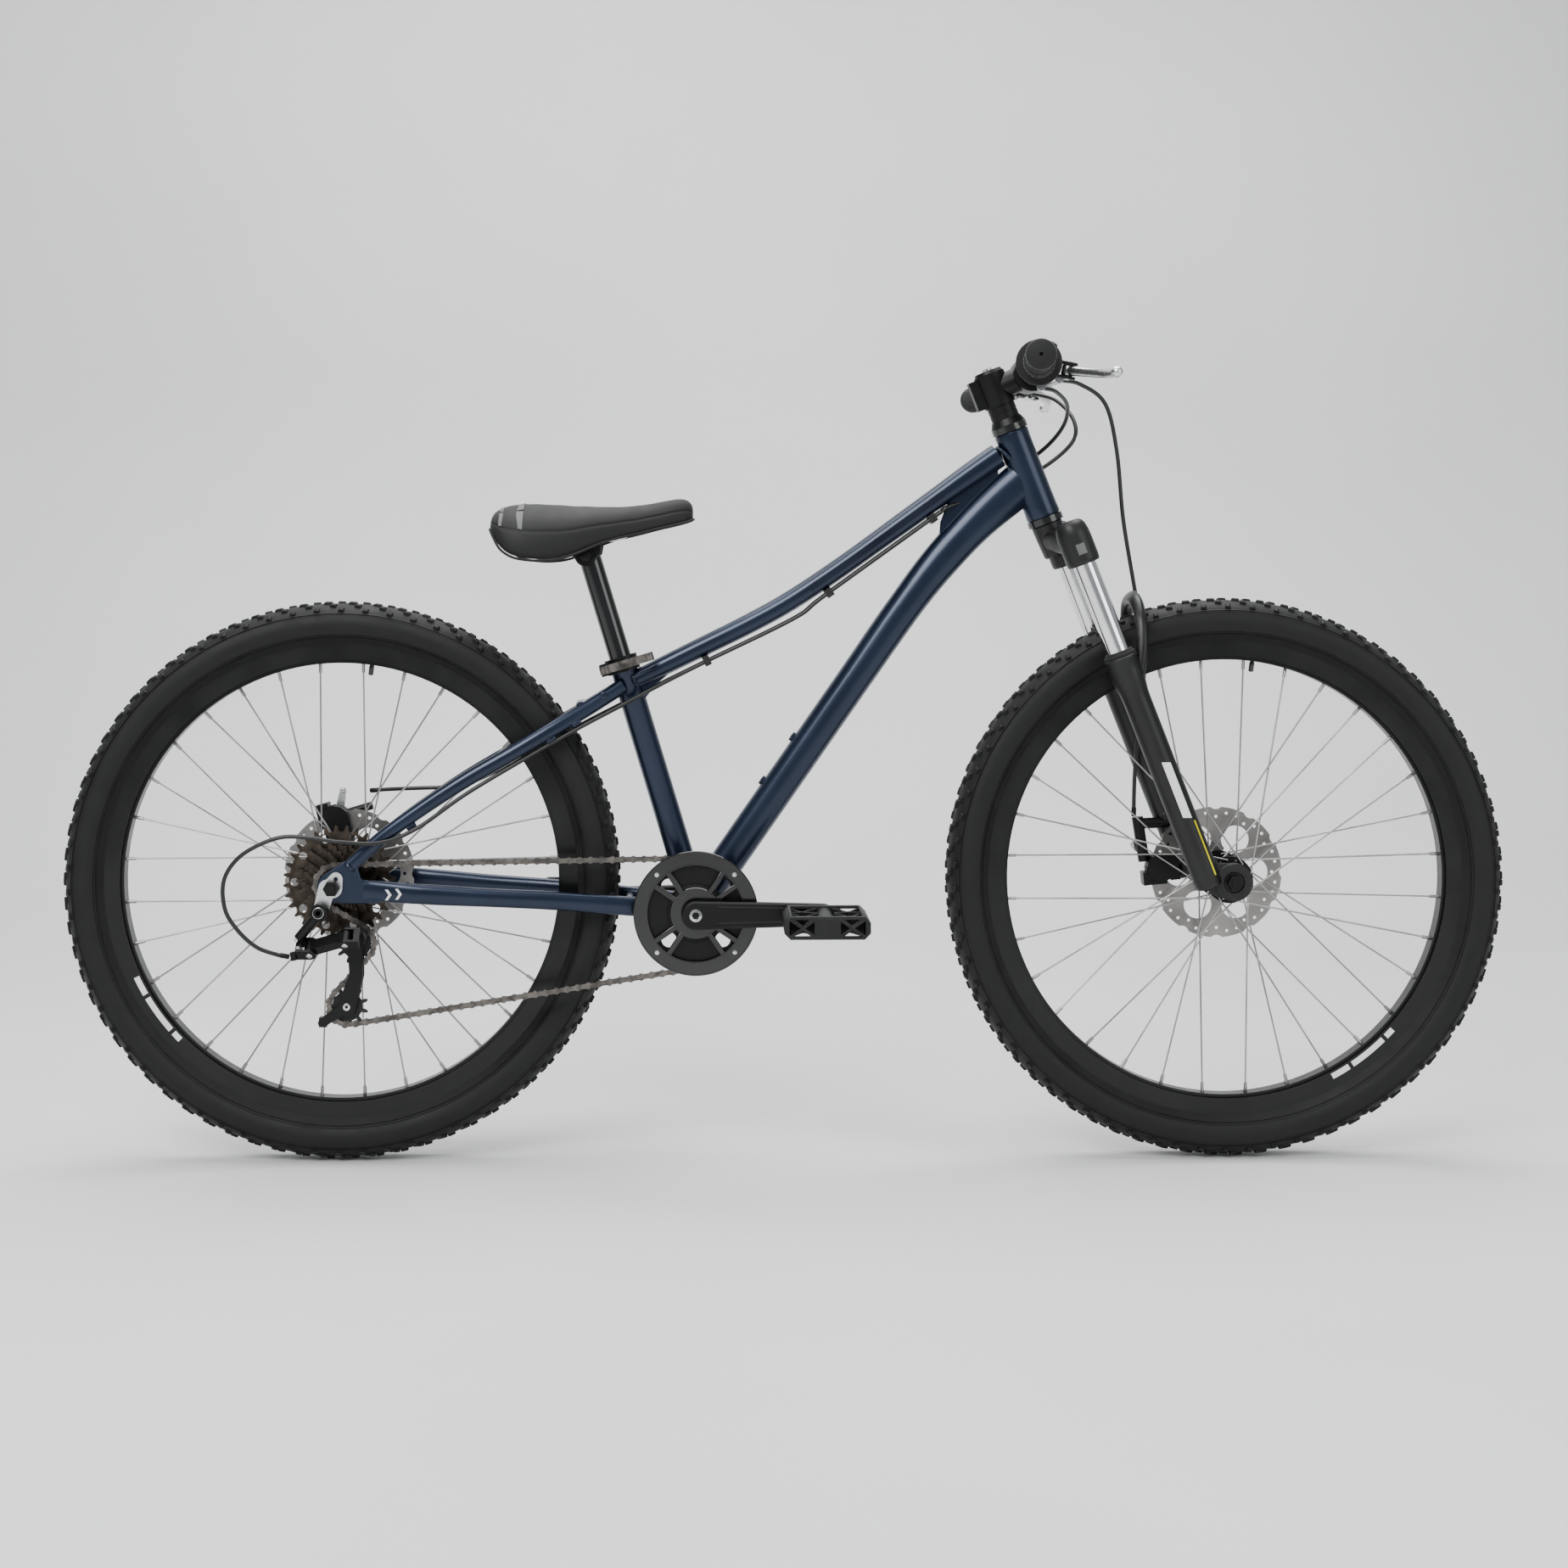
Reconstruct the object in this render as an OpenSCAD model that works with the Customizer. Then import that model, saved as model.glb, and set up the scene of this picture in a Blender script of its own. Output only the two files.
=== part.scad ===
// Hardtail mountain bike: one welded frame, a sprung fork, two disc-braked
// wheels and a single-ring drivetrain. Millimetres, +X forward, +Y left, +Z up.
// Origin: on the ground, midway between the axles, in the plane of symmetry.

/* [Wheels] */
// Outer radius of the tyres
tyre_r = 337; // [334:0.5:338]
// Width of the tyres
tyre_w = 56; // [50:1:58]
// Distance between the two axles
wheelbase = 1064; // [1060:1:1070]
// Spokes in each wheel
spoke_count = 32; // [24:8:32]
// Diameter of the brake rotors
rotor_d = 160; // [150:1:162]

/* [Frame] */
// Angle of the head tube from the ground
head_angle = 69; // [68.5:0.1:69.5]
// Lean of the seat tube from upright
seat_lean = 16.7; // [16.5:0.1:17]
// Outer diameter of the seat tube
seat_tube_d = 31.8; // [31:0.1:32]
// Diameter of the seatpost
post_d = 27.2; // [26:0.2:27.2]

/* [Fork] */
// Distance from the top of the head tube to the front axle, along the fork
fork_reach = 593.5; // [590:0.5:596]
// Forward offset of the front axle from the steering axis
fork_offset = 44.6; // [42:0.2:46]
// Half of the distance between the fork legs
leg_y = 56; // [55.5:0.1:57]
// Diameter of the chromed upper legs
stanchion_d = 28; // [26:0.5:28]

/* [Cockpit] */
// Width of the handlebar, end to end
bar_w = 624; // [600:2:640]
// Diameter of the handlebar at its ends
bar_d = 22.2; // [22:0.1:22.2]

/* [Drivetrain] */
// Teeth on the chainring
ring_teeth = 32; // [32:1:32]
// Length of each crank arm, axis to axis
crank_len = 150; // [145:1:155]

/* [Hidden] */
$fn = 48;

// Driving points
axle_z = tyre_r;
rear_x = -wheelbase / 2;
front_x = wheelbase / 2;
bb = [-105, 302.6];
steer_tilt = 90 - head_angle;
head_x = front_x - fork_reach * cos(head_angle) - fork_offset * sin(head_angle);
head_z = axle_z + fork_reach * sin(head_angle) - fork_offset * cos(head_angle);
head_len = 111;
head_tube_r = 20.5;

// Tubes and rods between points
function unit(v) = v / norm(v);

module rod(a, b, r1, r2 = -1) {
  v = b - a;
  flat = norm([v[0], v[1]]);
  translate(a)
    rotate([0, atan2(flat, v[2]), atan2(v[1], v[0])])
      cylinder(h = norm(v), r1 = r1, r2 = r2 < 0 ? r1 : r2);
}

// A straight bar of any cross-section that keeps its local X in the XZ plane
module beam(a, b) {
  v = b - a;
  translate(a)
    rotate([0, atan2(norm([v[0], v[1]]), v[2]), atan2(v[1], v[0])])
      linear_extrude(norm(v)) children();
}

module ring(r_out, r_in, h) {
  difference() {
    cylinder(h = h, r = r_out);
    translate([0, 0, -1]) cylinder(h = h + 2, r = r_in);
  }
}

// Axis along +Y, starting at y = 0
module y_rod(r, h) rotate([-90, 0, 0]) cylinder(h = h, r = r);

module y_ring(r_out, r_in, h) rotate([-90, 0, 0]) ring(r_out, r_in, h);

module at_rear() translate([rear_x, 0, axle_z]) children();

module at_front() translate([front_x, 0, axle_z]) children();

module at_bb() translate([bb[0], 0, bb[1]]) children();

// Steering frame: local +Z runs up the head tube, local X points forward
module steer() translate([head_x, 0, head_z]) rotate([0, -steer_tilt, 0]) children();

// Seat frame: local +Z runs up the seat tube from the bottom bracket
module seat() at_bb() rotate([0, -seat_lean, 0]) children();

module both_sides() {
  children();
  mirror([0, 1, 0]) children();
}

// Polyhedron tube swept along a list of points
function sweep_dir(p, i) = unit(p[min(i + 1, len(p) - 1)] - p[max(i - 1, 0)]);

function sweep_ring(p, i, r, sides, flat) =
  let (d = sweep_dir(p, i),
       ref = abs(d[1]) > 0.9 ? [0, 0, 1] : [0, 1, 0],
       u = flat[0] * unit(cross(ref, d)),
       w = flat[1] * cross(d, unit(cross(ref, d))))
  [for (k = [0 : sides - 1]) p[i] + r * (cos(360 * k / sides) * u + sin(360 * k / sides) * w)];

// Tube of half height h and half width w, with its width across the bike
module flat_sweep(p, h, w, sides) sweep(p, 1, sides, [h, w]);

module sweep(p, r, sides = 8, flat = [1, 1]) {
  n = len(p);
  verts = [for (i = [0 : n - 1]) each sweep_ring(p, i, r, sides, flat)];
  quads = [for (i = [0 : n - 2], k = [0 : sides - 1])
    [i * sides + k, (i + 1) * sides + k,
     (i + 1) * sides + (k + 1) % sides, i * sides + (k + 1) % sides]];
  first = [[for (k = [0 : sides - 1]) k]];
  last = [[for (k = [0 : sides - 1]) n * sides - 1 - k]];
  polyhedron(verts, concat(quads, first, last));
}

// Points of a Catmull-Rom curve through a route, with n steps per stretch
function curve_at(a, b, c, d, t) =
  0.5 * (2 * b + (c - a) * t + (2 * a - 5 * b + 4 * c - d) * t * t
    + (3 * b - a - 3 * c + d) * t * t * t);

function smooth(p, n = 3) = concat(
  [for (i = [0 : len(p) - 2], s = [0 : n - 1])
    curve_at(p[max(i - 1, 0)], p[i], p[i + 1], p[min(i + 2, len(p) - 1)], s / n)],
  [p[len(p) - 1]]);

// Wheels
rim_outer_r = 285.5;
rim_inner_r = 262;
nipple_r = 2;

// Hollow casing with its beads hooked on the rim
module tyre() {
  bead_r = rim_outer_r + 1;
  crown_r = tyre_r - tyre_w / 2 + 2;
  rotate([90, 0, 0])
    rotate_extrude($fn = 128)
      difference() {
        union() {
          translate([tyre_r - tyre_w / 2, 0]) circle(r = tyre_w / 2);
          translate([bead_r, -13]) square([12, 26]);
        }
        translate([tyre_r - tyre_w / 2 - 1, 0]) circle(r = tyre_w / 2 - 4);
        translate([bead_r - 1, -9]) square([14, 18]);
        translate([rim_inner_r, -13.05]) square([rim_outer_r + 0.05 - rim_inner_r, 26.1]);
      }
  // Valve, through its hole in the rim
  rotate([0, 8, 0]) translate([0, 0, 248]) cylinder(h = 44, r = 3);
}

module rim() {
  difference() {
    rotate([90, 0, 0])
      rotate_extrude($fn = 128)
        difference() {
          union() {
            translate([rim_inner_r, -9]) square([6, 18]);
            translate([rim_inner_r + 4, -13]) square([rim_outer_r - rim_inner_r - 4, 26]);
          }
          translate([rim_inner_r + 10, -10]) square([30, 20]);
        }
    for (i = [0 : spoke_count - 1])
      rotate([0, spoke_rim_angle(i), 0])
        translate([0, 0, rim_inner_r - 4]) cylinder(h = 20, r = 2.6);
    rotate([0, 8, 0]) translate([0, 0, 250]) cylinder(h = 30, r = 4);
  }
}

function spoke_rim_angle(i) = (i + 0.5) * 360 / spoke_count;

// Crossed spoke i: its rim angle and the hub hole that it comes from
function spoke_hub_angle(i) =
  spoke_rim_angle(i) + (floor(i / 2) % 2 == 0 ? 1 : -1) * 66;

module spoke(i, flange_y, hole_r) {
  side = i % 2 == 0 ? 1 : -1;
  a = spoke_rim_angle(i);
  h = spoke_hub_angle(i);
  out = floor(i / 2) % 2 == 0 ? 1 : -1;
  flange = abs(side > 0 ? flange_y[1] : flange_y[0]);
  // A spoke outside its flange stands off further, to clear the flange's edge on its way to the rim
  off = out > 0 ? 2.7 + 0.063 * flange : 2.8;
  face = side * (flange + out * off);
  p = [hole_r * sin(h), face, hole_r * cos(h)];
  q = [(rim_inner_r + 3) * sin(a), 0, (rim_inner_r + 3) * cos(a)];
  d = unit(q - p);
  rod(p, q, 1);
  rod(q - 14 * d, q, nipple_r);
  // The bent end, through the flange, and its head
  elbow = side * out;
  translate(p) rotate([elbow > 0 ? 90 : -90, 0, 0]) cylinder(h = off + 1.6, r = 1);
}

module spokes(flange_y, hole_r)
  for (i = [0 : spoke_count - 1]) spoke(i, flange_y, hole_r);

// Hub shell: barrel, two drilled flanges and a bore for its axle
module hub(flange_y, flange_r, hole_r, ends, barrel_r, end_r) {
  difference() {
    union() {
      translate([0, ends[0], 0]) y_rod(end_r, ends[1] - ends[0]);
      translate([0, ends[1] - 5, 0]) y_rod(26, 5);
      translate([0, flange_y[0], 0]) y_rod(barrel_r, flange_y[1] - flange_y[0]);
      for (y = flange_y) translate([0, y - 1.6, 0]) y_rod(flange_r, 3.2);
    }
    translate([0, ends[0] - 1, 0]) y_rod(5.05, ends[1] - ends[0] + 2);
    for (i = [0 : spoke_count - 1])
      let (h = spoke_hub_angle(i), y = flange_y[i % 2 == 0 ? 1 : 0])
        translate([hole_r * sin(h), y - 3, hole_r * cos(h)]) y_rod(1.3, 6);
  }
}

front_flange_y = [-34, 24];
rear_flange_y = [-17, 33];
hub_hole_r = 24;
front_hub_ends = [-46, 35];
rear_hub_ends = [-56, 50];

// Perforated steel disc bolted to the left side of a hub
module rotor() {
  band_in = rotor_d / 2 - 17;
  rotate([-90, 0, 0]) {
    linear_extrude(1.8)
      difference() {
        circle(r = rotor_d / 2, $fn = 96);
        for (i = [0 : 11]) rotate(i * 30) translate([rotor_d / 2 + 6, 0]) circle(r = 9);
        for (i = [0 : 5])
          rotate(i * 60) {
            translate([46, 0]) circle(r = 17);
            translate([28, 0]) circle(r = 6);
          }
        for (i = [0 : 35])
          rotate(i * 10) translate([rotor_d / 2 - (i % 3 == 0 ? 12 : 7), 0]) circle(r = 2);
        circle(r = 18.3);
      }
    for (i = [0 : 5]) rotate(i * 60 + 30) translate([21.5, 0, 1.8]) cylinder(h = 1.5, r = 2.8);
  }
}

// Solid axle with hex nuts outside of the drop-outs
module axle(half, nut_y, ends, dropout) {
  translate([0, -half, 0]) y_rod(5, 2 * half);
  translate([0, -dropout, 0]) y_rod(9, dropout + ends[0] - 0.4);
  translate([0, ends[1] + 0.4, 0]) y_rod(9, dropout - ends[1] - 0.4);
  for (s = [-1, 1])
    translate([0, s > 0 ? nut_y[1] : nut_y[0] - 9, 0])
      difference() {
        rotate([-90, 0, 0]) cylinder(h = 9, r = 9.5, $fn = 6);
        translate([0, -1, 0]) y_rod(5, 11);
      }
}

module front_tyre() color("dimgray") at_front() tyre();

module front_rim() color("black") at_front() rim();

module front_spokes() color("silver") at_front() spokes(front_flange_y, hub_hole_r);

module front_hub() color("black")
  at_front() hub(front_flange_y, 28, hub_hole_r, front_hub_ends, 14, 10.5);

module front_rotor() color("silver") at_front() translate([0, 35.05, 0]) rotor();

module front_axle() color("gray") at_front() axle(70, [-60.1, 60.1], front_hub_ends, 50);

module rear_tyre() color("dimgray") at_rear() tyre();

module rear_rim() color("black") at_rear() rim();

module rear_spokes() color("silver") at_rear() spokes(rear_flange_y, hub_hole_r);

module rear_hub() color("black")
  at_rear() hub(rear_flange_y, 28, hub_hole_r, rear_hub_ends, 15, 13);

module rear_rotor() color("silver") at_rear() translate([0, 50.05, 0]) rotor();

module rear_axle() color("gray") at_rear() axle(88, [-77.6, 73.6], rear_hub_ends, 67.5);

// Frame
seat_tube_len = 313;
bb_shell_r = 20;
bb_half = 35;
dropout_y = 67.5;
dropout_t = 6;
down_angle = 55;
down_dir = [cos(down_angle), 0, sin(down_angle)];
down_r = 20.5;
top_h = 21;
top_w = 30;
boss_at = [171, 235];
bb_centre = [bb[0], 0, bb[1]];
// Where the down tube stops being straight, and its curved end at the head tube
down_route = [
  bb_centre, [146, 0, 660.5], [194, 0, 721], [244, 0, 774], [292, 0, 818]];
top_route = [[-186, 0, 572.5], [13.5, 0, 670.6], [266, 0, 850.7]];
seat_stay_route = [[-196, 15, 567], [-278, 45, 518], [-375, 58, 463], [-471, 66, 398], [-518, 70.5, 357]];
chain_stay_route = [[-118, 26, 304], [-190, 44, 310], [-364, 61, 323], [-486, 69, 331]];

module stadium(h, w) {
  for (s = [-1, 1]) translate([0, s * (w - h) / 2]) circle(d = h);
  square([h, w - h], center = true);
}

module route_rods(p, r, lap = 0)
  for (i = [0 : len(p) - 2])
    rod(p[i], p[i + 1] + lap * unit(p[i + 1] - p[i]), r);

module tube_bores() {
  steer() translate([0, 0, -head_len - 1]) cylinder(h = head_len + 2, r = 17);
  seat() translate([0, 0, 60]) cylinder(h = seat_tube_len, r = post_d / 2 + 0.05);
  at_bb() translate([0, -bb_half - 1, 0]) y_rod(17, 2 * bb_half + 2);
}

module front_triangle() color("midnightblue")
  difference() {
    union() {
      steer() translate([0, 0, -head_len]) cylinder(h = head_len, r = head_tube_r);
      flat_sweep(top_route, top_h / 2, top_w / 2, 16);
      flat_sweep(down_route, down_r, down_r, 16);
      seat() cylinder(h = seat_tube_len, r = seat_tube_d / 2);
      at_bb() translate([0, -bb_half, 0]) y_rod(bb_shell_r, 2 * bb_half);
      // Gusset in the corner of the seat tube and the top tube
      translate([0, 6, 0]) rotate([90, 0, 0])
        linear_extrude(12) polygon([[-186, 535], [-120, 608], [-190, 580]]);
      for (s = boss_at)
        translate(bb_centre + s * down_dir) rotate([0, -down_angle, 0])
          cylinder(h = down_r + 3, r = 6);
    }
    tube_bores();
    for (s = boss_at)
      translate(bb_centre + s * down_dir) rotate([0, -down_angle, 0])
        translate([0, 0, down_r - 9]) cylinder(h = 20, r = 2.1);
  }

module dropout_outline() hull() {
  circle(r = 19);
  translate([20, 24]) circle(r = 9);
  translate([50, -8]) circle(r = 11);
}

// One side of the rear triangle, on +Y
module rear_side() {
  difference() {
    union() {
      flat_sweep(seat_stay_route, 8.5, 8.5, 12);
      flat_sweep(chain_stay_route, 11, 8.5, 12);
      at_rear() translate([0, dropout_y + dropout_t, 0]) rotate([90, 0, 0])
        linear_extrude(dropout_t) dropout_outline();
    }
    at_rear() translate([0, dropout_y - 1, 0]) y_rod(5.1, dropout_t + 2);
    // Clearance on the seat tube, the bottom bracket shell and inside the drop-outs
    seat() cylinder(h = seat_tube_len, r = seat_tube_d / 2 + 0.05);
    at_bb() translate([0, -bb_half - 1, 0]) y_rod(bb_shell_r + 0.05, 2 * bb_half + 2);
    at_rear() translate([0, dropout_y - 40, 0]) y_rod(36, 40);
    at_rear() translate([0, dropout_y + dropout_t, 0]) y_rod(13, 20);
  }
}

// The stays give room to the chainring, the chain and the freewheel
module rear_triangle() color("midnightblue") {
  rear_side();
  mirror([0, 1, 0]) rear_side();
  // Bridge between the seat stays, over the tyre
  translate([-241, -30, 546]) y_rod(7, 60);
}

hanger_bolt = [-545.4, 310.1];
hanger_out = dropout_y + dropout_t;

module derailleur_hanger() color("silver")
  translate([0, -hanger_out - 0.02, 0]) rotate([90, 0, 0])
    linear_extrude(4)
      difference() {
        union() {
          hull() {
            translate([-527.5, 347.5]) circle(r = 8);
            translate([rear_x, axle_z]) circle(r = 12);
          }
          hull() {
            translate([rear_x - 6, axle_z]) circle(r = 10);
            translate(hanger_bolt) circle(r = 9);
          }
        }
        translate([rear_x, axle_z]) circle(r = 5.1);
        translate([-527.5, 347.5]) circle(r = 2.6);
        translate(hanger_bolt) circle(r = 4.9);
      }

module headset_cups() color("black") steer() {
  for (z = [0, -head_len - 8])
    translate([0, 0, z]) ring(22, steerer_r + play, 8);
  for (z = [-12, -head_len])
    translate([0, 0, z]) ring(16.95, steerer_r + play, 12);
}

module bottom_bracket_cups() color("silver") at_bb() both_sides() {
  translate([0, bb_half - 22, 0]) y_ring(16.95, 8.55, 22);
  translate([0, bb_half, 0]) y_ring(19, 8.55, 3);
}

collar_z = seat_tube_len - 16;
collar_lug_x = -21;
lever_hub = [collar_lug_x, -27, collar_z + 9];

// Split collar with its lug, the skewer through it and the lever's clevis
module seat_collar() color("black") seat() {
  difference() {
    translate([0, 0, collar_z]) union() {
      cylinder(h = 18, r = 20);
      translate([collar_lug_x - 5, -8, 2]) cube([14, 16, 14]);
    }
    translate([0, 0, collar_z - 1]) cylinder(h = 20, r = seat_tube_d / 2 + 0.02);
    translate([collar_lug_x - 9, -1.5, collar_z - 1]) cube([16, 3, 20]);
  }
  translate([collar_lug_x, -20, collar_z + 9]) y_rod(3, 36);
  translate([collar_lug_x, 8, collar_z + 9]) y_rod(6, 6);
  translate(lever_hub) {
    translate([-5, 6.5, -7.3]) cube([10, 3, 14.6]);
    for (z = [-7.3, 5.3]) translate([-5, -4, z]) cube([10, 12, 2]);
    translate([0, 0, -6]) cylinder(h = 12, r = 2);
  }
}

module seat_collar_lever() color("gray") seat() translate(lever_hub) difference() {
  union() {
    translate([0, 0, -5]) cylinder(h = 10, r = 6);
    translate([0, -5, -5]) cube([56, 5, 10]);
    translate([56, -2.5, -5]) cylinder(h = 10, r = 5);
  }
  translate([0, 0, -6]) cylinder(h = 12, r = 2.05);
}

// Fork, in the steering frame: z = 0 at the top of the head tube
crown_top = -122;
crown_bottom = -178;
leg_x = 16;
seal_z = -296;
lower_end = -588;
stanchion_end = -480;
stanchion_r = stanchion_d / 2;
lower_r = 16.5;
steerer_r = 14.3;
// Radial play of a turning or sliding fit
play = 0.05;
axle_at = [fork_offset, 0, -fork_reach];

module each_leg() for (s = [-1, 1]) translate([leg_x, s * leg_y, 0]) children();

module fork_crown() color("black") steer()
  difference() {
    union() {
      translate([0, 0, crown_top]) cylinder(h = 72 - crown_top, r = steerer_r);
      translate([0, 0, crown_top]) cylinder(h = 2.7, r = 19);
      for (s = [-1, 1])
        translate([0, 0, crown_bottom + 14])
          linear_extrude(42) hull() {
            circle(r = 18);
            translate([leg_x, s * leg_y]) circle(r = 19.5);
          }
      each_leg() translate([0, 0, crown_bottom]) cylinder(h = 57, r = 20.5);
    }
    each_leg() translate([0, 0, crown_bottom - 1]) cylinder(h = 52, r = stanchion_r + 0.02);
  }

module stanchions() color("silver") steer() each_leg()
  translate([0, 0, stanchion_end]) cylinder(h = crown_bottom + 50 - stanchion_end, r = stanchion_r);

arch_half = [[24, 56, -330], [46, 55, -296], [58, 46, -262], [63, 14, -240]];
arch_route = concat(arch_half, [for (i = [3 : -1 : 0]) [arch_half[i][0], -arch_half[i][1], arch_half[i][2]]]);

module fork_lowers() color("black") steer() {
  difference() {
    union() {
      each_leg() {
        translate([0, 0, lower_end]) cylinder(h = seal_z - 40 - lower_end, r = lower_r);
        translate([0, 0, seal_z - 42]) cylinder(h = 18, r1 = lower_r, r2 = 20);
        translate([0, 0, seal_z - 24]) cylinder(h = 24, r = 20);
      }
      sweep(arch_route, 7, 12);
      both_sides()
        translate([0, 60, 0]) rotate([90, 0, 0])
          linear_extrude(10) hull() {
            translate([fork_offset, -fork_reach]) circle(r = 23);
            translate([leg_x, lower_end + 40]) circle(r = 12);
          }
    }
    each_leg() translate([0, 0, lower_end + 12]) cylinder(h = 300, r = stanchion_r + play);
    translate(axle_at + [0, -70, 0]) y_rod(5.1, 140);
    // Round recess for each axle nut
    for (y = [60, -80]) translate(axle_at + [0, y, 0]) y_rod(12, 20);
  }
}

module fork_wipers() color("dimgray") steer() each_leg()
  translate([0, 0, seal_z + 0.02]) {
    ring(19, stanchion_r + play, 4);
    translate([0, 0, 4]) ring(17, stanchion_r + play, 3);
  }

// Disc caliper around a rotor: a cast body with a slot, and its bracket.
// Local Y is the axle direction, the pivot of the cable arm is at the origin.
module caliper_body(slot_y, inner, outer) {
  difference() {
    union() {
      translate([0, inner, 0]) y_rod(17, outer - inner);
      translate([-16, inner, -22]) cube([32, outer - inner, 12]);
      translate([-20, inner + 2, -6]) cube([22, outer - inner - 4, 24]);
    }
    translate([-40, slot_y[0], -40]) cube([80, slot_y[1] - slot_y[0], 80]);
    translate([0, outer - 6, 0]) y_rod(6.05, 10);
  }
  // Bridge over the rotor's edge
  translate([-20, inner, 18]) cube([16, outer - inner, 5]);
}

// Cable arm with its round adjuster
module caliper_arm(y, tip) {
  translate([0, y - 5, 0]) y_rod(6, 5.3);
  translate([0, y + 0.3, 0]) y_rod(9, 3);
  translate([0, y + 3.3, 0]) rotate([90, 0, 0])
    linear_extrude(3) hull() {
      circle(r = 6);
      translate(tip) circle(r = 4);
    }
}

front_pivot = [464, 0, 343];
rear_pivot = [-548, 0, 404];

module leg_gap() steer() translate([leg_x, leg_y, lower_end - 5]) cylinder(h = 300, r = lower_r + 0.1);

module front_brake_caliper() color("black") {
  difference() {
    translate(front_pivot) rotate([0, -95, 0]) caliper_body([34.2, 37.8], 29.8, 50);
    leg_gap();
  }
  difference() {
    union() {
      rod([480, 45.5, 397], [437, 43, 396], 6.6);
      rod([437, 43, 404], [445, 42.5, 350], 6.8);
    }
    leg_gap();
    translate(front_pivot) translate([0, 20, 0]) y_rod(18, 40);
    translate([front_x, 34.2, axle_z]) y_rod(83, 3.6);
  }
}

module rear_brake_caliper() color("black") {
  translate(rear_pivot) rotate([0, -15, 0]) caliper_body([49.2, 52.8], 40, 65);
  difference() {
    union() {
      rod([-536, 62.4, 352], [-540, 62.4, 392], 5);
      rod([-505, 62.4, 420], [-540, 62.4, 410], 5);
    }
    translate(rear_pivot) translate([0, 20, 0]) y_rod(18, 60);
    at_rear() translate([0, 50, 0]) y_rod(14, 30);
  }
}

module front_caliper_arm() color("gray")
  translate(front_pivot) caliper_arm(50, [-30, 26]);

module rear_caliper_arm() color("gray")
  translate(rear_pivot) caliper_arm(65, [6, 34]);

// Cockpit, in the steering frame
spacer_r = 17;
stem_z = [34, 74];
clamp_at = [46.4, 56];
bar_bend_y = 60;
bar_end = [13.8, bar_w / 2, 61.7];
bar_bend = [clamp_at[0], bar_bend_y, clamp_at[1]];
bar_r = bar_d / 2;
bar_clamp_r = 15.9;
clamp_bolt_r = 3.5;
pivot_r = 2.5;
bar_half_len = norm(bar_end - bar_bend);
// Turn of the levers and of the shifter about the bar
lever_pitch = 32;

// Frame on the left half of the bar: local Z outwards, -Y forward, -X up
module on_bar(s = 0) {
  v = bar_end - bar_bend;
  translate(bar_bend)
    rotate([0, atan2(norm([v[0], v[1]]), v[2]), atan2(v[1], v[0])])
      translate([0, 0, s]) rotate([0, 0, lever_pitch]) children();
}

module each_bar_end() steer() {
  on_bar() children();
  mirror([0, 1, 0]) on_bar() children();
}

module headset_spacers() color("black") steer() {
  difference() {
    union() {
      translate([0, 0, 8.4]) cylinder(h = 8, r1 = 21.5, r2 = 18);
      translate([0, 0, 16.4]) cylinder(h = 8, r = spacer_r);
      translate([0, 0, 25]) cylinder(h = stem_z[0] - 25, r = spacer_r);
      translate([0, 0, 24]) cylinder(h = 2, r = spacer_r - 1);
    }
    translate([0, 0, 5]) cylinder(h = 40, r = steerer_r + play);
  }
  translate([0, 0, stem_z[1] + 0.02]) cylinder(h = 4, r1 = 18, r2 = 16);
}

module each_clamp_bolt() for (s = [-1, 1], y = [-17, 17])
  translate([clamp_at[0] + 12, y, clamp_at[1] + s * 20]) rotate([0, 90, 0]) children();

module stem() color("black") steer()
  difference() {
    union() {
      translate([0, 0, stem_z[0]]) cylinder(h = stem_z[1] - stem_z[0], r = 19);
      beam([0, 0, 54], [clamp_at[0], 0, clamp_at[1]]) stadium(30, 36);
      translate([clamp_at[0], -25, clamp_at[1]]) y_rod(22, 50);
      translate([-28, -9, stem_z[0] + 2]) cube([16, 18, 36]);
    }
    translate([0, 0, stem_z[0] - 5]) cylinder(h = 50, r = steerer_r + play);
    translate([clamp_at[0], -26, clamp_at[1]]) y_rod(bar_clamp_r + 0.02, 52);
    // Slots of the two clamps
    translate([-30, -1, stem_z[0] - 1]) cube([16, 2, 50]);
    translate([clamp_at[0], -26, clamp_at[1] - 30]) cube([2, 52, 60]);
    each_clamp_bolt() cylinder(h = 12, r = clamp_bolt_r + play);
  }

module cockpit_bolts() color("silver") steer() {
  translate([0, 0, stem_z[1] + 4.04]) cylinder(h = 3, r = 6);
  for (z = [44, 64]) translate([-22, 9.02, z]) y_rod(4, 4);
  each_clamp_bolt() cylinder(h = 11.9, r = clamp_bolt_r);
  // Barrel adjusters of the two brake levers and of the shifter
  both_sides() on_bar() translate([10, -27, 50]) cylinder(h = 19.9, r = 5);
  mirror([0, 1, 0]) on_bar() translate([23, -8, 66]) cylinder(h = 17.9, r = 5);
}

module handlebar() color("black") steer() {
  translate([clamp_at[0], -40, clamp_at[1]]) y_rod(bar_clamp_r, 80);
  both_sides() {
    rod([clamp_at[0], 40, clamp_at[1]], bar_bend, bar_clamp_r, bar_r);
    rod(bar_bend, bar_end, bar_r);
    translate(bar_bend) sphere(r = bar_r);
  }
}

module grip(from, flange) difference() {
  union() {
    translate([0, 0, from]) cylinder(h = bar_half_len - from + 4, r = 15.5);
    translate([0, 0, from]) cylinder(h = 4, r = flange);
    translate([0, 0, bar_half_len - 4]) cylinder(h = 8, r = 17);
  }
  translate([0, 0, from - 1]) cylinder(h = bar_half_len - from + 1.02, r = bar_r + 0.02);
}

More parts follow.
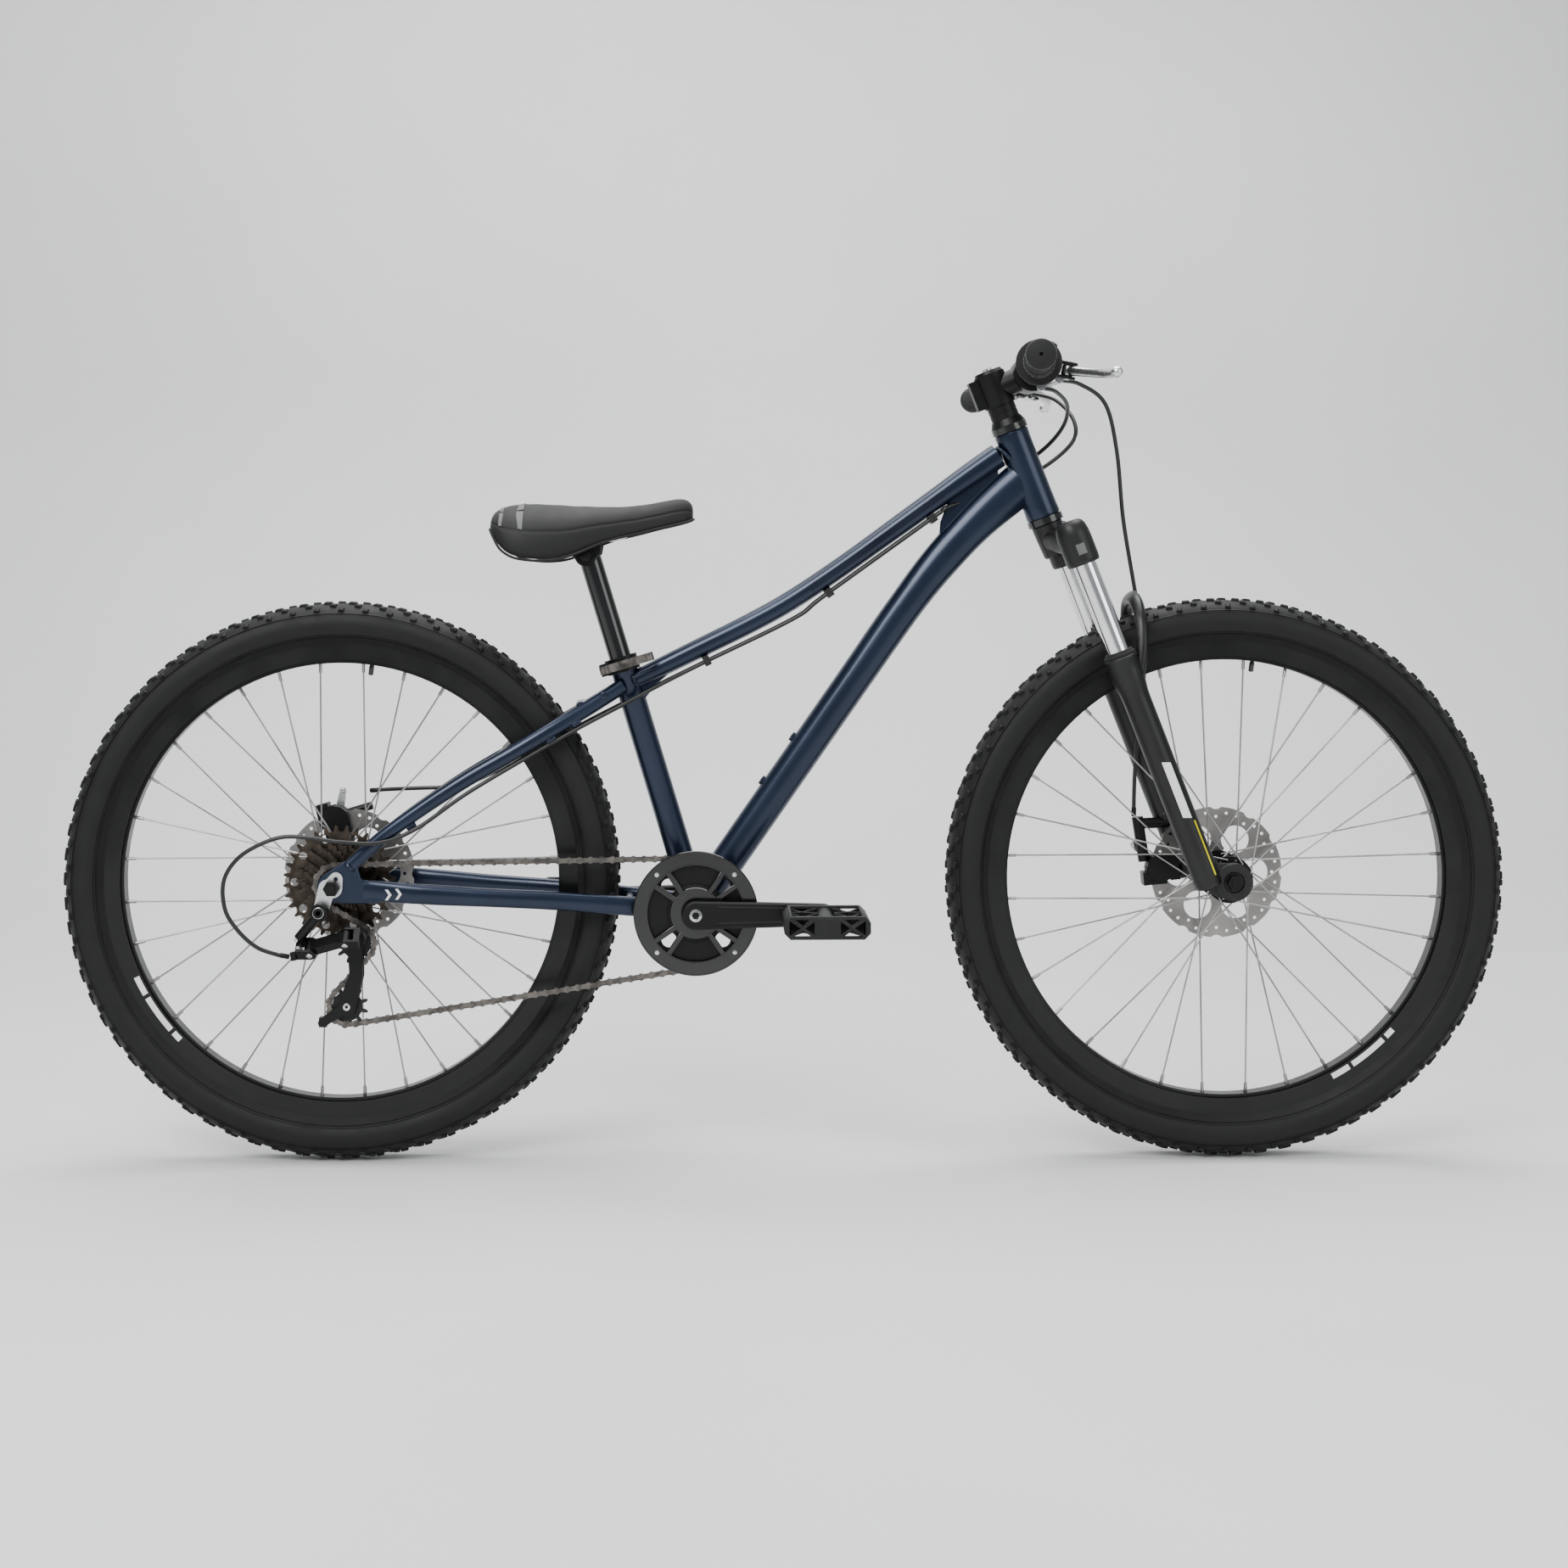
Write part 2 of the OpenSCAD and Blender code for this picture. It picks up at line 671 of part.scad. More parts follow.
module grips() color("dimgray") steer() {
  on_bar() grip(124, 22);
  mirror([0, 1, 0]) on_bar() grip(164, 17);
}

lever_pivot = [0, -34, 80];

module lever_mount() difference() {
  union() {
    translate([0, 0, 70]) cylinder(h = 14, r = 16);
    translate([-10, -44, 70]) cube([20, 32, 20]);
  }
  translate([0, 0, 60]) cylinder(h = 40, r = bar_r + 0.02);
  translate([-6.4, -50, 68]) cube([12.8, 23.5, 30]);
}

module lever_mounts() color("black") {
  each_bar_end() {
    difference() {
      lever_mount();
      translate(lever_pivot - [20, 0, 0]) rotate([0, 90, 0]) cylinder(h = 40, r = pivot_r);
    }
    translate(lever_pivot - [11, 0, 0]) rotate([0, 90, 0]) cylinder(h = 22, r = pivot_r);
  }
  // Fixed housing of the twist shifter, on the right
  steer() mirror([0, 1, 0]) on_bar() difference() {
    union() {
      translate([0, 0, 92]) cylinder(h = 32, r = 20);
      translate([10, -18, 84]) cube([18, 20, 34]);
    }
    translate([0, 0, 80]) cylinder(h = 60, r = bar_r + 0.02);
  }
}

// Bent blade in the plane of the pull, with its hub
module brake_lever() translate(lever_pivot) difference() {
  translate([-6, 0, 0]) rotate([90, 0, 90]) linear_extrude(12) {
    circle(r = 7);
    polygon([[-6, -3], [7, 2], [-30, 34], [-42, 60], [-46, 116], [-55, 118], [-51, 60], [-40, 32]]);
    translate([-50.5, 117]) circle(r = 6.5);
  }
  translate([-10, 0, 0]) rotate([0, 90, 0]) cylinder(h = 20, r = pivot_r + play);
}

module left_brake_lever() color("silver") steer() on_bar() brake_lever();

module right_brake_lever() color("silver") steer() mirror([0, 1, 0]) on_bar() brake_lever();

module twist_shifter() color("dimgray") steer() mirror([0, 1, 0]) on_bar() difference() {
  union() {
    translate([0, 0, 124.4]) cylinder(h = 8, r = 26);
    translate([0, 0, 132]) cylinder(h = 31.4, r = 18);
  }
  translate([0, 0, 120]) cylinder(h = 50, r = bar_r + 0.05);
}

// Seatpost and saddle
post_z = [140, 440];
saddle_stations = [
  // x, half width, top z, skirt z
  [-349, 50, 777, 754], [-338, 66, 787, 738], [-308, 75, 791, 722], [-262, 67, 789, 722],
  [-230, 50, 786, 737], [-194, 33, 785, 753], [-150, 23, 790, 762], [-120, 19, 795, 767],
  [-108, 13, 792, 773]
];
rail_route = [[-326, 26, 757], [-300, 22, 742], [-200, 22, 748], [-150, 12, 768]];
arch_steps = 9;

// Arch-shaped cross-section: outer curve, then the inner curve back
function arch(s, side, top, low) =
  [for (k = [0 : arch_steps])
    let (t = 180 * k / arch_steps)
      [s[0], (s[1] - side) * cos(t), s[3] + low + (s[2] - top - s[3] - low) * pow(sin(t), 0.6)]];

function arch_ring(s, outer, inner, low) =
  concat(arch(s, outer[0], outer[1], low), [for (k = [arch_steps : -1 : 0]) arch(s, inner[0], inner[1], low)[k]]);

module loft(rings) {
  n = len(rings);
  m = len(rings[0]);
  quads = [for (i = [0 : n - 2], k = [0 : m - 1])
    [i * m + k, i * m + (k + 1) % m, (i + 1) * m + (k + 1) % m, (i + 1) * m + k]];
  polyhedron(
    [for (r = rings) each r],
    concat(quads, [[for (k = [0 : m - 1]) m - 1 - k]], [[for (k = [0 : m - 1]) (n - 1) * m + k]]));
}

module seatpost() color("black") seat()
  translate([0, 0, post_z[0]]) cylinder(h = post_z[1] - post_z[0], r = post_d / 2);

clamp_pos = [-236, 0, 727];

module saddle_clamp() color("black") difference() {
  union() {
    translate(clamp_pos - [0, 27, 0]) y_rod(13, 54);
    translate([-243, -27, 732]) cube([34, 54, 12]);
  }
  seat() translate([0, 0, post_z[0]]) cylinder(h = post_z[1] - post_z[0] + 0.02, r = post_d / 2 + 0.02);
  both_sides() route_rods(rail_route, 3.65);
}

module saddle_rails() color("silver") both_sides() route_rods(rail_route, 3.5, 1);

module saddle_base() color("black") difference() {
  loft([for (s = [for (i = [1 : 7]) saddle_stations[i]]) arch_ring(s, [9, 15], [11, 18], 3)]);
  both_sides() route_rods(rail_route, 3.65, 1.2);
}

module saddle_cover() color("dimgray")
  loft([for (s = saddle_stations) arch_ring(s, [0, 0], [7, 13], 0)]);

// Drivetrain
pitch = 12.7;
chain_y = -52;
cog_teeth = [12, 14, 16, 18, 21, 24, 32];
cog_step = 4.8;
pulley_teeth = 11;
cage_pivot = [-503, 277];
guide_at = [-508, 268];
cage_len = 75;
cage_angle = -98;
tension_at = guide_at + cage_len * [cos(cage_angle), sin(cage_angle)];

function pitch_r(teeth) = teeth * pitch / (2 * PI);

// Circles that the chain runs round: centre, radius, turning sense
wheels = [
  [bb, pitch_r(ring_teeth), -1],
  [tension_at, pitch_r(pulley_teeth), -1],
  [guide_at, pitch_r(pulley_teeth), 1],
  [[rear_x, axle_z], pitch_r(cog_teeth[0]), -1]
];

function wrap(a) = a - 360 * floor(a / 360);

function span(i) = let (a = wheels[i], b = wheels[(i + 1) % 4]) b[0] - a[0];

function slip(i) = let (a = wheels[i], b = wheels[(i + 1) % 4]) a[2] * a[1] - b[2] * b[1];

function heading(i) = atan2(span(i)[1], span(i)[0]) + asin(slip(i) / norm(span(i)));

function run_len(i) = sqrt(pow(norm(span(i)), 2) - pow(slip(i), 2));

function turn(i) = wrap(wheels[i][2] * (heading(i) - heading((i + 3) % 4)));

function arc_len(i) = wheels[i][1] * turn(i) * PI / 180;

// Point where the chain leaves wheel i
function leave(i) = let (w = wheels[i], h = heading(i)) w[0] + w[1] * w[2] * [sin(h), -cos(h)];

function lap_len(i) = run_len(i) + arc_len((i + 1) % 4);

chain_len = lap_len(0) + lap_len(1) + lap_len(2) + lap_len(3);
link_count = 2 * round(chain_len / pitch / 2);
link_pitch = chain_len / link_count;

// Point on the chain at distance s after it leaves wheel i
function chain_point(s, i = 0) =
  s <= run_len(i) ? leave(i) + s * [cos(heading(i)), sin(heading(i))] :
  s <= lap_len(i) || i == 3 ?
    let (w = wheels[(i + 1) % 4],
         h = heading(i) + w[2] * (s - run_len(i)) / w[1] * 180 / PI)
      w[0] + w[1] * w[2] * [sin(h), -cos(h)] :
  chain_point(s - lap_len(i), i + 1);

function before(i) = i == 0 ? 0 : before(i - 1) + lap_len(i - 1);

// Angle of the roller nearest to the middle of the arc on wheel i
function gap_angle(i) =
  let (j = (i + 3) % 4,
       mid = before(j) + run_len(j) + arc_len(i) / 2,
       p = chain_point(round(mid / link_pitch) * link_pitch) - wheels[i][0])
    atan2(p[1], p[0]);

// Outline of a sprocket with the middle of a tooth gap at angle 0
function tooth(r, a, half) =
  let (root = r - 4.2, tip = r + 2.8, d = 180 / PI)
  [
    for (q = [
      [root, a - 3 / root * d], [root, a + 3 / root * d], [r, a + half - 2.1 / r * d],
      [tip, a + half - 0.9 / tip * d], [tip, a + half + 0.9 / tip * d], [r, a + half + 2.1 / r * d]
    ]) q[0] * [cos(q[1]), sin(q[1])]
  ];

module sprocket(teeth, thick, gap)
  rotate([90, 0, 0]) translate([0, 0, -thick / 2])
    linear_extrude(thick) rotate(gap)
      polygon([for (i = [0 : teeth - 1]) each tooth(pitch_r(teeth), i * 360 / teeth, 180 / teeth)]);

module freewheel() color("dimgray") at_rear() difference() {
  union() {
    for (k = [0 : len(cog_teeth) - 1])
      translate([0, chain_y + cog_step * k, 0]) sprocket(cog_teeth[k], 1.8, gap_angle(3));
    translate([0, chain_y - 2.4, 0]) y_rod(19, 6 * cog_step + 4.2);
  }
  translate([0, chain_y - 10, 0]) y_rod(13.05, 50);
  // Round holes that lighten the largest cog
  for (i = [0 : 9])
    rotate([0, i * 36, 0]) translate([54, chain_y + 5.6 * cog_step, 0]) y_rod(5, 10);
}

crank_y = -64;
crank_t = 12;

module arm_outline() {
  difference() {
    hull() {
      circle(r = 17);
      translate([crank_len, 0]) circle(r = 13);
    }
    translate([crank_len, 0]) circle(r = 7.05);
  }
}

module right_crank() color("black") at_bb() {
  translate([0, crank_y, 0]) rotate([90, 0, 0]) linear_extrude(crank_t) arm_outline();
  translate([0, -66, 0]) y_rod(14, 15);
  translate([0, -55.9, 0]) y_rod(34, 2.8);
  translate([0, -66, 0]) y_rod(8.5, 132);
}

module left_crank() color("black") at_bb() difference() {
  translate([0, -crank_y + crank_t, 0]) mirror([1, 0, 0]) rotate([90, 0, 0])
    linear_extrude(crank_t) arm_outline();
  translate([0, 60, 0]) y_rod(8.52, 6.02);
}

module chainring() color("gray") at_bb() difference() {
  translate([0, chain_y - 0.1, 0]) sprocket(ring_teeth, 1.9, gap_angle(0));
  translate([0, chain_y - 5, 0]) y_rod(14.02, 10);
  for (i = [0 : 3])
    rotate([0, 45 + 90 * i, 0]) translate([45, chain_y - 5, 0]) y_rod(9, 10);
}

guard_r = 74;

// Round guard with four pairs of diagonal ribs
module chainguard() color("black") at_bb() difference() {
  translate([0, -56, 0]) rotate([90, 0, 0]) linear_extrude(3) {
    difference() {
      circle(r = guard_r, $fn = 96);
      circle(r = 57, $fn = 96);
    }
    difference() {
      circle(r = 31);
      circle(r = 17);
    }
    for (i = [0 : 3], s = [-1, 1])
      rotate(45 + 90 * i + s * 11) translate([27, -3.5]) square([33, 7]);
  }
  for (i = [0 : 3])
    rotate([0, 45 + 90 * i, 0]) translate([65, -62, 0]) y_rod(2.5, 10);
}

pedal_r = 5;

module pedal_axles() color("silver") at_bb() {
  for (s = [-1, 1])
    translate([-s * crank_len, 0, 0]) mirror([0, s < 0 ? 1 : 0, 0]) {
      translate([0, -crank_y, 0]) y_rod(7, crank_t);
      translate([0, -crank_y + crank_t + 0.02, 0]) y_rod(9, 4);
      translate([0, -crank_y, 0]) y_rod(pedal_r, 106);
    }
}

pedal_y = 82;
pedal_len = 98;
pedal_w = 92;
pedal_h = 26;

// Platform pedal on +Y: outer cage, centre barrel and X-braced sides
module pedal() difference() {
  union() {
    difference() {
      translate([-pedal_len / 2, pedal_y, -pedal_h / 2]) cube([pedal_len, pedal_w, pedal_h]);
      for (s = [-1, 1])
        translate([s * 27.5 - 14, pedal_y + 9, -20]) cube([28, pedal_w - 18, 40]);
      // Bevelled ends seen from the side
      for (s = [-1, 1], u = [-1, 1])
        translate([s * pedal_len / 2, pedal_y - 1, u * pedal_h / 2])
          rotate([0, 45, 0]) translate([-5, 0, -5]) cube([10, pedal_w + 2, 10]);
      // Triangular windows of the braced sides
      for (y = [pedal_y - 1, pedal_y + pedal_w - 8], s = [-1, 1])
        translate([s * 28, y + 9, 0]) rotate([90, 0, 0]) linear_extrude(9)
          for (u = [0 : 3]) rotate(90 * u)
            polygon(u % 2 == 0 ? [[3, 0], [14, -7], [14, 7]] : [[3, 0], [8, -8], [8, 8]]);
    }
    translate([0, pedal_y, 0]) y_rod(12, pedal_w);
  }
  translate([0, pedal_y - 1, 0]) y_rod(pedal_r + 0.05, pedal_w - 2);
}

module right_pedal() color("black") at_bb()
  translate([crank_len, 0, 0]) mirror([0, 1, 0]) pedal();

module left_pedal() color("black") at_bb() translate([-crank_len, 0, 0]) pedal();

// Derailleur: fixed mount, swinging link, knuckle, sprung cage and two pulleys.
// The link pins lean halfway between up and left, so the cage moves in and down.
mount_pin = [-558, -76, 266];
link_len = 48;
link_rest = -24;
knuckle_pin = mount_pin
  + link_len * [cos(link_rest), sin(link_rest) * cos(45), -sin(link_rest) * sin(45)];

module at_pin(p) translate(p) rotate([-45, 0, 0]) children();

// Two cheeks with their pin, and the web behind them
module clevis(side) {
  for (z = [7.3, -10.3]) translate([0, 0, z]) {
    cylinder(h = 3, r = 8);
    translate([side > 0 ? 0 : -16, -8, 0]) cube([16, 16, 3]);
  }
  translate([0, 0, -10]) cylinder(h = 20, r = 3);
  translate([side > 0 ? 10 : -16, -8, -10.3]) cube([6, 16, 20.6]);
}

module derailleur_mount() color("black") {
  translate([hanger_bolt[0], -92, hanger_bolt[1]]) y_rod(10, 92 - hanger_out - 4.1);
  translate([hanger_bolt[0], -96, hanger_bolt[1]]) y_rod(6, 10);
  at_pin(mount_pin) clevis(-1);
  rod([-548, -84, 306], [-571.5, -75.5, 278], 6);
  translate([-580, -84, 257.4]) rotate([0, -10, 0]) translate([0, 0, -5]) cube([6, 8, 10]);
}

module derailleur_arm() color("black") at_pin(mount_pin) rotate(link_rest) difference() {
  translate([0, 0, -7]) linear_extrude(14) {
    circle(r = 7);
    translate([link_len, 0]) circle(r = 7);
    translate([0, -6]) square([link_len, 12]);
  }
  for (x = [0, link_len]) translate([x, 0, -10]) cylinder(h = 20, r = 3.05);
}

pulley_gap = 8;
plate_t = 2.5;

module derailleur_knuckle() color("black") difference() {
  union() {
    at_pin(knuckle_pin) clevis(1);
    translate([cage_pivot[0], -80, cage_pivot[1]]) y_rod(10, 21);
  }
  translate([cage_pivot[0], -81, cage_pivot[1]]) y_rod(4.05, 30);
}

module cage_outline(with_pivot) {
  mid = (guide_at + tension_at) / 2 + [6, 0];
  if (with_pivot) hull() {
    translate(cage_pivot) circle(r = 10);
    translate(guide_at) circle(r = 10);
  }
  hull() {
    translate(guide_at) circle(r = 9);
    translate(mid) circle(r = 8);
  }
  hull() {
    translate(mid) circle(r = 8);
    translate(tension_at) circle(r = 11);
  }
}

module cage_plate(y, with_pivot)
  translate([0, y, 0]) rotate([90, 0, 0]) linear_extrude(plate_t) cage_outline(with_pivot);

module derailleur_cage() color("black") {
  cage_plate(chain_y - pulley_gap / 2, true);
  cage_plate(chain_y + pulley_gap / 2 + plate_t, false);
  translate([cage_pivot[0], -79, cage_pivot[1]]) y_rod(4, 79 + chain_y - pulley_gap / 2);
  for (p = [guide_at, tension_at])
    translate([p[0], chain_y - pulley_gap / 2 - plate_t - 0.4, p[1]]) y_rod(2.5, pulley_gap + 2 * plate_t + 1.4);
  // Stop that joins the two plates below the tension pulley
  translate([tension_at[0] - 33, chain_y - 6, tension_at[1] - 24]) cube([9, 12, 11]);
  for (y = [chain_y - pulley_gap / 2, chain_y + pulley_gap / 2 + plate_t])
    translate([0, y, 0]) rotate([90, 0, 0]) linear_extrude(plate_t) hull() {
      translate(tension_at) circle(r = 7);
      translate(tension_at + [-29, -19]) circle(r = 5);
    }
}

module pulley(at, i) translate([at[0], chain_y, at[1]]) difference() {
  union() {
    sprocket(pulley_teeth, 2, gap_angle(i));
    translate([0, -3.6, 0]) y_rod(9, 7.2);
  }
  translate([0, -10, 0]) y_rod(2.55, 20);
}

module guide_pulley() color("black") pulley(guide_at, 2);

module tension_pulley() color("black") pulley(tension_at, 1);

// Chain of alternating inner and outer links; p is the distance between the pins
module link_plate(y, t, p)
  translate([0, y + t, 0]) rotate([90, 0, 0]) linear_extrude(t) {
    for (s = [-1, 1]) translate([s * p / 2, 0]) circle(r = 4, $fn = 24);
    square([p - 3, 5.6], center = true);
  }

module inner_link(p) difference() {
  union() {
    for (y = [-2, 1.2]) link_plate(y, 0.8, p);
    for (s = [-1, 1]) translate([s * p / 2, -1.3, 0]) y_rod(3.85, 2.6);
  }
  for (s = [-1, 1]) translate([s * p / 2, -3, 0]) y_rod(1.9, 6);
}

module outer_link(p) {
  for (y = [-2.9, 2.1]) link_plate(y, 0.8, p);
  for (s = [-1, 1]) translate([s * p / 2, -3.1, 0]) y_rod(1.8, 6.2);
}

module chain() color("gray")
  for (k = [0 : link_count - 1])
    let (a = chain_point(k * link_pitch),
         b = chain_point(((k + 1) % link_count) * link_pitch),
         m = (a + b) / 2, d = b - a)
      translate([m[0], chain_y, m[1]]) rotate([0, -atan2(d[1], d[0]), 0])
        if (k % 2 == 0) outer_link(norm(d));
        else inner_link(norm(d));

// Cables, and what holds them on the frame
cable_r = 2.5;
guide_x = [177, 52, -94];
slope_front = (top_route[2] - top_route[1])[2] / (top_route[2] - top_route[1])[0];
slope_rear = (top_route[1] - top_route[0])[2] / (top_route[1] - top_route[0])[0];

function top_z(x) = top_route[1][2]
  + (x - top_route[1][0]) * (x > top_route[1][0] ? slope_front : slope_rear);

function under_top(x, y) = [x, y, top_z(x) - 20];

frame_end_y = 9;
// The cables pass from the frame to the steering in front of the first guide
split_x = guide_x[0] + 16;
shift_route = [
  under_top(split_x, -frame_end_y), under_top(guide_x[0], -frame_end_y),
  under_top(guide_x[1], -frame_end_y), [14, -9, 650],
  under_top(guide_x[2], -frame_end_y), [-150, -19, 570], [-190, -27, 549], [-246, -38, 520],
  [-300, -49, 490], [-375, -62, 446], [-433, -68, 406], [-476, -78, 390], [-522, -86, 392],
  [-560, -88, 398], [-595, -88, 397], [-635, -88, 378], [-656, -88, 350], [-656, -88, 316],
  [-642, -88, 291], [-620, -86, 270], [-596, -82, 260], [-582, -80, 257]];
rear_brake_route = [
  under_top(split_x, frame_end_y), under_top(guide_x[0], frame_end_y),
  under_top(guide_x[1], frame_end_y), [14, 9, 650],
  under_top(guide_x[2], frame_end_y), [-150, 19, 570], [-190, 27, 549], [-246, 38, 520],
  [-300, 48, 489], [-345, 44, 466], [-380, 45, 450], [-410, 47, 444], [-450, 52, 442],
  [-484, 60, 440], [-508, 66.6, 438]];
steering_shift_route = [
  [295.9, -125.3, 918.2], [299, -112, 918], [318, -90, 916], [338, -50, 903], [340, -12, 882],
  [324, 20, 858], [290, 32, 832], [255, 24, 812], [222, 2, 792],
  under_top(split_x + 8, -frame_end_y), under_top(split_x + 0.6, -frame_end_y)];
steering_brake_route = [
  [318.9, 112.3, 927.7], [322, 98, 928], [345, 75, 918], [362, 50, 892], [358, 36, 864],
  [322, 38, 833], [280, 37, 816], [245, 28, 801], [217, 15, 789],
  under_top(split_x + 8, frame_end_y), under_top(split_x + 0.6, frame_end_y)];
front_brake_route = [
  [318.9, -112.3, 927.7], [322, -98, 928], [350, -70, 926], [385, -40, 905], [405, -5, 850], [418, 26, 770],
  [433, 38, 690], [441, 34, 640], [444, 33, 580], [438, 32, 520], [433, 36, 460], [433, 45, 405]];

module cable(route, n = 3) sweep(smooth(route, n), cable_r);

module frame_cables() color("black") {
  cable(shift_route, 2);
  cable(rear_brake_route, 2);
}

module steering_cables() color("black") {
  cable(steering_shift_route, 2);
  cable(steering_brake_route, 2);
}

module front_brake_cable() color("black") cable(front_brake_route, 2);

// Clip under the top tube, with a hole for each cable
module top_clip(x) {
  a = [x - 8, 0, top_z(x - 8)];
  b = [x - 1, 0, top_z(x - 1)];
  slope = atan2(b[2] - a[2], b[0] - a[0]);
  drop = 20 * cos(slope);
  beam(a, b) difference() {
    translate([top_h / 2 + 0.5, -14]) square([drop - top_h / 2 + 5, 28]);
    for (s = [-1, 1]) translate([drop, s * frame_end_y]) circle(r = 3.2);
  }
}

module cable_guides() color("black") for (x = guide_x) top_clip(x);
front_triangle();
rear_triangle();
derailleur_hanger();
headset_cups();
bottom_bracket_cups();
seat_collar();
cable_guides();
frame_cables();
rear_brake_caliper();
rear_axle();
derailleur_mount();
seat_collar_lever();
seatpost();
saddle_clamp();
saddle_rails();
saddle_base();
saddle_cover();
fork_crown();
stanchions();
headset_spacers();
stem();
cockpit_bolts();
handlebar();
grips();
lever_mounts();
steering_cables();
twist_shifter();
right_brake_lever();
left_brake_lever();
fork_lowers();
fork_wipers();
front_brake_caliper();
front_axle();
front_brake_cable();
front_caliper_arm();
rear_caliper_arm();
front_tyre();
front_rim();
front_spokes();
front_hub();
front_rotor();
rear_tyre();
rear_rim();
rear_spokes();
rear_hub();
rear_rotor();
freewheel();
right_crank();
left_crank();
chainring();
chainguard();
pedal_axles();
right_pedal();
left_pedal();
derailleur_arm();
derailleur_knuckle();
derailleur_cage();
guide_pulley();
tension_pulley();
chain();
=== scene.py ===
"""Looks of a hardtail mountain bike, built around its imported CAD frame."""

import math
import random

import bmesh
import bpy
from mathutils import Matrix, Vector


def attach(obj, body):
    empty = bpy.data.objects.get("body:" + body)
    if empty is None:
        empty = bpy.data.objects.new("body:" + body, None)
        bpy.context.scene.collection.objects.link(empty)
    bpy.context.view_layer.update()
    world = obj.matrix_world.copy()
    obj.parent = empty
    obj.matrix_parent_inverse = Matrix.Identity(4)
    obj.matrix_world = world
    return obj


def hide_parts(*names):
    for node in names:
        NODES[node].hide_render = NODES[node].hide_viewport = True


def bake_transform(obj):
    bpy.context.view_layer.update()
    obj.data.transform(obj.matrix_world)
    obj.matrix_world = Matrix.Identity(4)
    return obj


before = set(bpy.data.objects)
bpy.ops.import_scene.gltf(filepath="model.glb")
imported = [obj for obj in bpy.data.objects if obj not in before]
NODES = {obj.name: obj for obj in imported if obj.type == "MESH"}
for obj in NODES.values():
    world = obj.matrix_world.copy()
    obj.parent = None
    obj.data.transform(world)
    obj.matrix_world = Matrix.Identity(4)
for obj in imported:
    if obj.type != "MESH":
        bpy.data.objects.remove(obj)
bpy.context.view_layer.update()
random.seed(7)
MM = 0.001


# ---------------------------------------------------------------- places
# The same driving points as the CAD source, in millimetres.
AXLE_Z = 337
REAR = Vector((-532, 0, AXLE_Z))
FRONT = Vector((532, 0, AXLE_Z))
BB = Vector((-105, 0, 302.6))
STEER_TILT = math.radians(21)
SEAT_LEAN = math.radians(16.7)
HEAD = Vector((277.67, 0, 875.09))
CRANK = 150


def steer(x, y, z):
    """A point of the steering frame, z up the head tube, x forward."""
    return HEAD + Matrix.Rotation(-STEER_TILT, 3, "Y") @ Vector((x, y, z))


def seat(x, y, z):
    """A point of the seat frame, z up the seat tube from the bottom bracket."""
    return BB + Matrix.Rotation(-SEAT_LEAN, 3, "Y") @ Vector((x, y, z))


BAR_BEND = Vector((46.4, 60, 56))
BAR_END = Vector((13.8, 312, 61.7))
LEVER_PITCH = math.radians(32)
Y = (0, 1, 0)


def on_bar(side, across, along, up=0):
    """A point beside the bar: across is forward, along is outwards from the bend."""
    out = (BAR_END - BAR_BEND).normalized()
    fore = Vector((out.y, -out.x, 0)).normalized()
    lift = fore.cross(out)
    if lift.z < 0:
        lift = -lift
    c, s = math.cos(LEVER_PITCH), math.sin(LEVER_PITCH)
    fore, lift = fore * c - lift * s, lift * c + fore * s
    p = BAR_BEND + out * along + fore * across + lift * up
    return steer(p.x, side * p.y, p.z)


# ---------------------------------------------------------------- meshes
def linked(name, mesh):
    """A new object of the mesh."""
    piece = bpy.data.objects.new(name, mesh)
    bpy.context.scene.collection.objects.link(piece)
    return piece


def released(work, name):
    """The mesh that a bmesh holds; the bmesh is freed."""
    mesh = bpy.data.meshes.new(name)
    work.to_mesh(mesh)
    work.free()
    return mesh


def baked(piece):
    """The piece with its modifiers applied."""
    mesh = bpy.data.meshes.new_from_object(piece.evaluated_get(bpy.context.evaluated_depsgraph_get()))
    piece.modifiers.clear()
    piece.data = mesh
    return piece


def reshape(piece, matrix):
    """Moves a piece's points by a matrix, which may mirror it."""
    piece.data.transform(matrix)
    tidy_normals(piece.data)
    soften(piece.data)
    return piece


def flip(piece):
    """Moves a piece to the other side of the plane of symmetry."""
    return reshape(piece, Matrix.Scale(-1, 4, Y))


def make(name, verts, faces, material, smooth=True, angle=35):
    """A mesh object from points in millimetres."""
    mesh = bpy.data.meshes.new(name)
    mesh.from_pydata([Vector(v) * MM for v in verts], [], faces)
    tidy_normals(mesh)
    if smooth:
        soften(mesh, angle)
    mesh.materials.append(material)
    return linked(name, mesh)


def skin(rows, loop=False):
    """Points and faces over a row of rings; loop joins the last ring to the first."""
    n, count = len(rows[0]), len(rows)
    faces = []
    for i in range(count if loop else count - 1):
        j = (i + 1) % count
        for k in range(n):
            m = (k + 1) % n
            faces.append((i * n + k, i * n + m, j * n + m, j * n + k))
    if not loop:
        faces += [tuple(range(n - 1, -1, -1)), tuple(range(n * (count - 1), n * count))]
    return [p for row in rows for p in row], faces


def square_to(axis, ref=(0, 0, 1), spare=(1, 0, 0)):
    """The unit axis and two directions square to it; spare serves where ref is near the axis."""
    axis = Vector(axis).normalized()
    ref = Vector(ref) if abs(axis.dot(Vector(ref))) < 0.9 else Vector(spare)
    u = ref.cross(axis).normalized()
    return axis, u, axis.cross(u)


def tidy_normals(mesh):
    """Turns all faces outwards."""
    work = bmesh.new()
    work.from_mesh(mesh)
    bmesh.ops.recalc_face_normals(work, faces=work.faces)
    work.to_mesh(mesh)
    work.free()


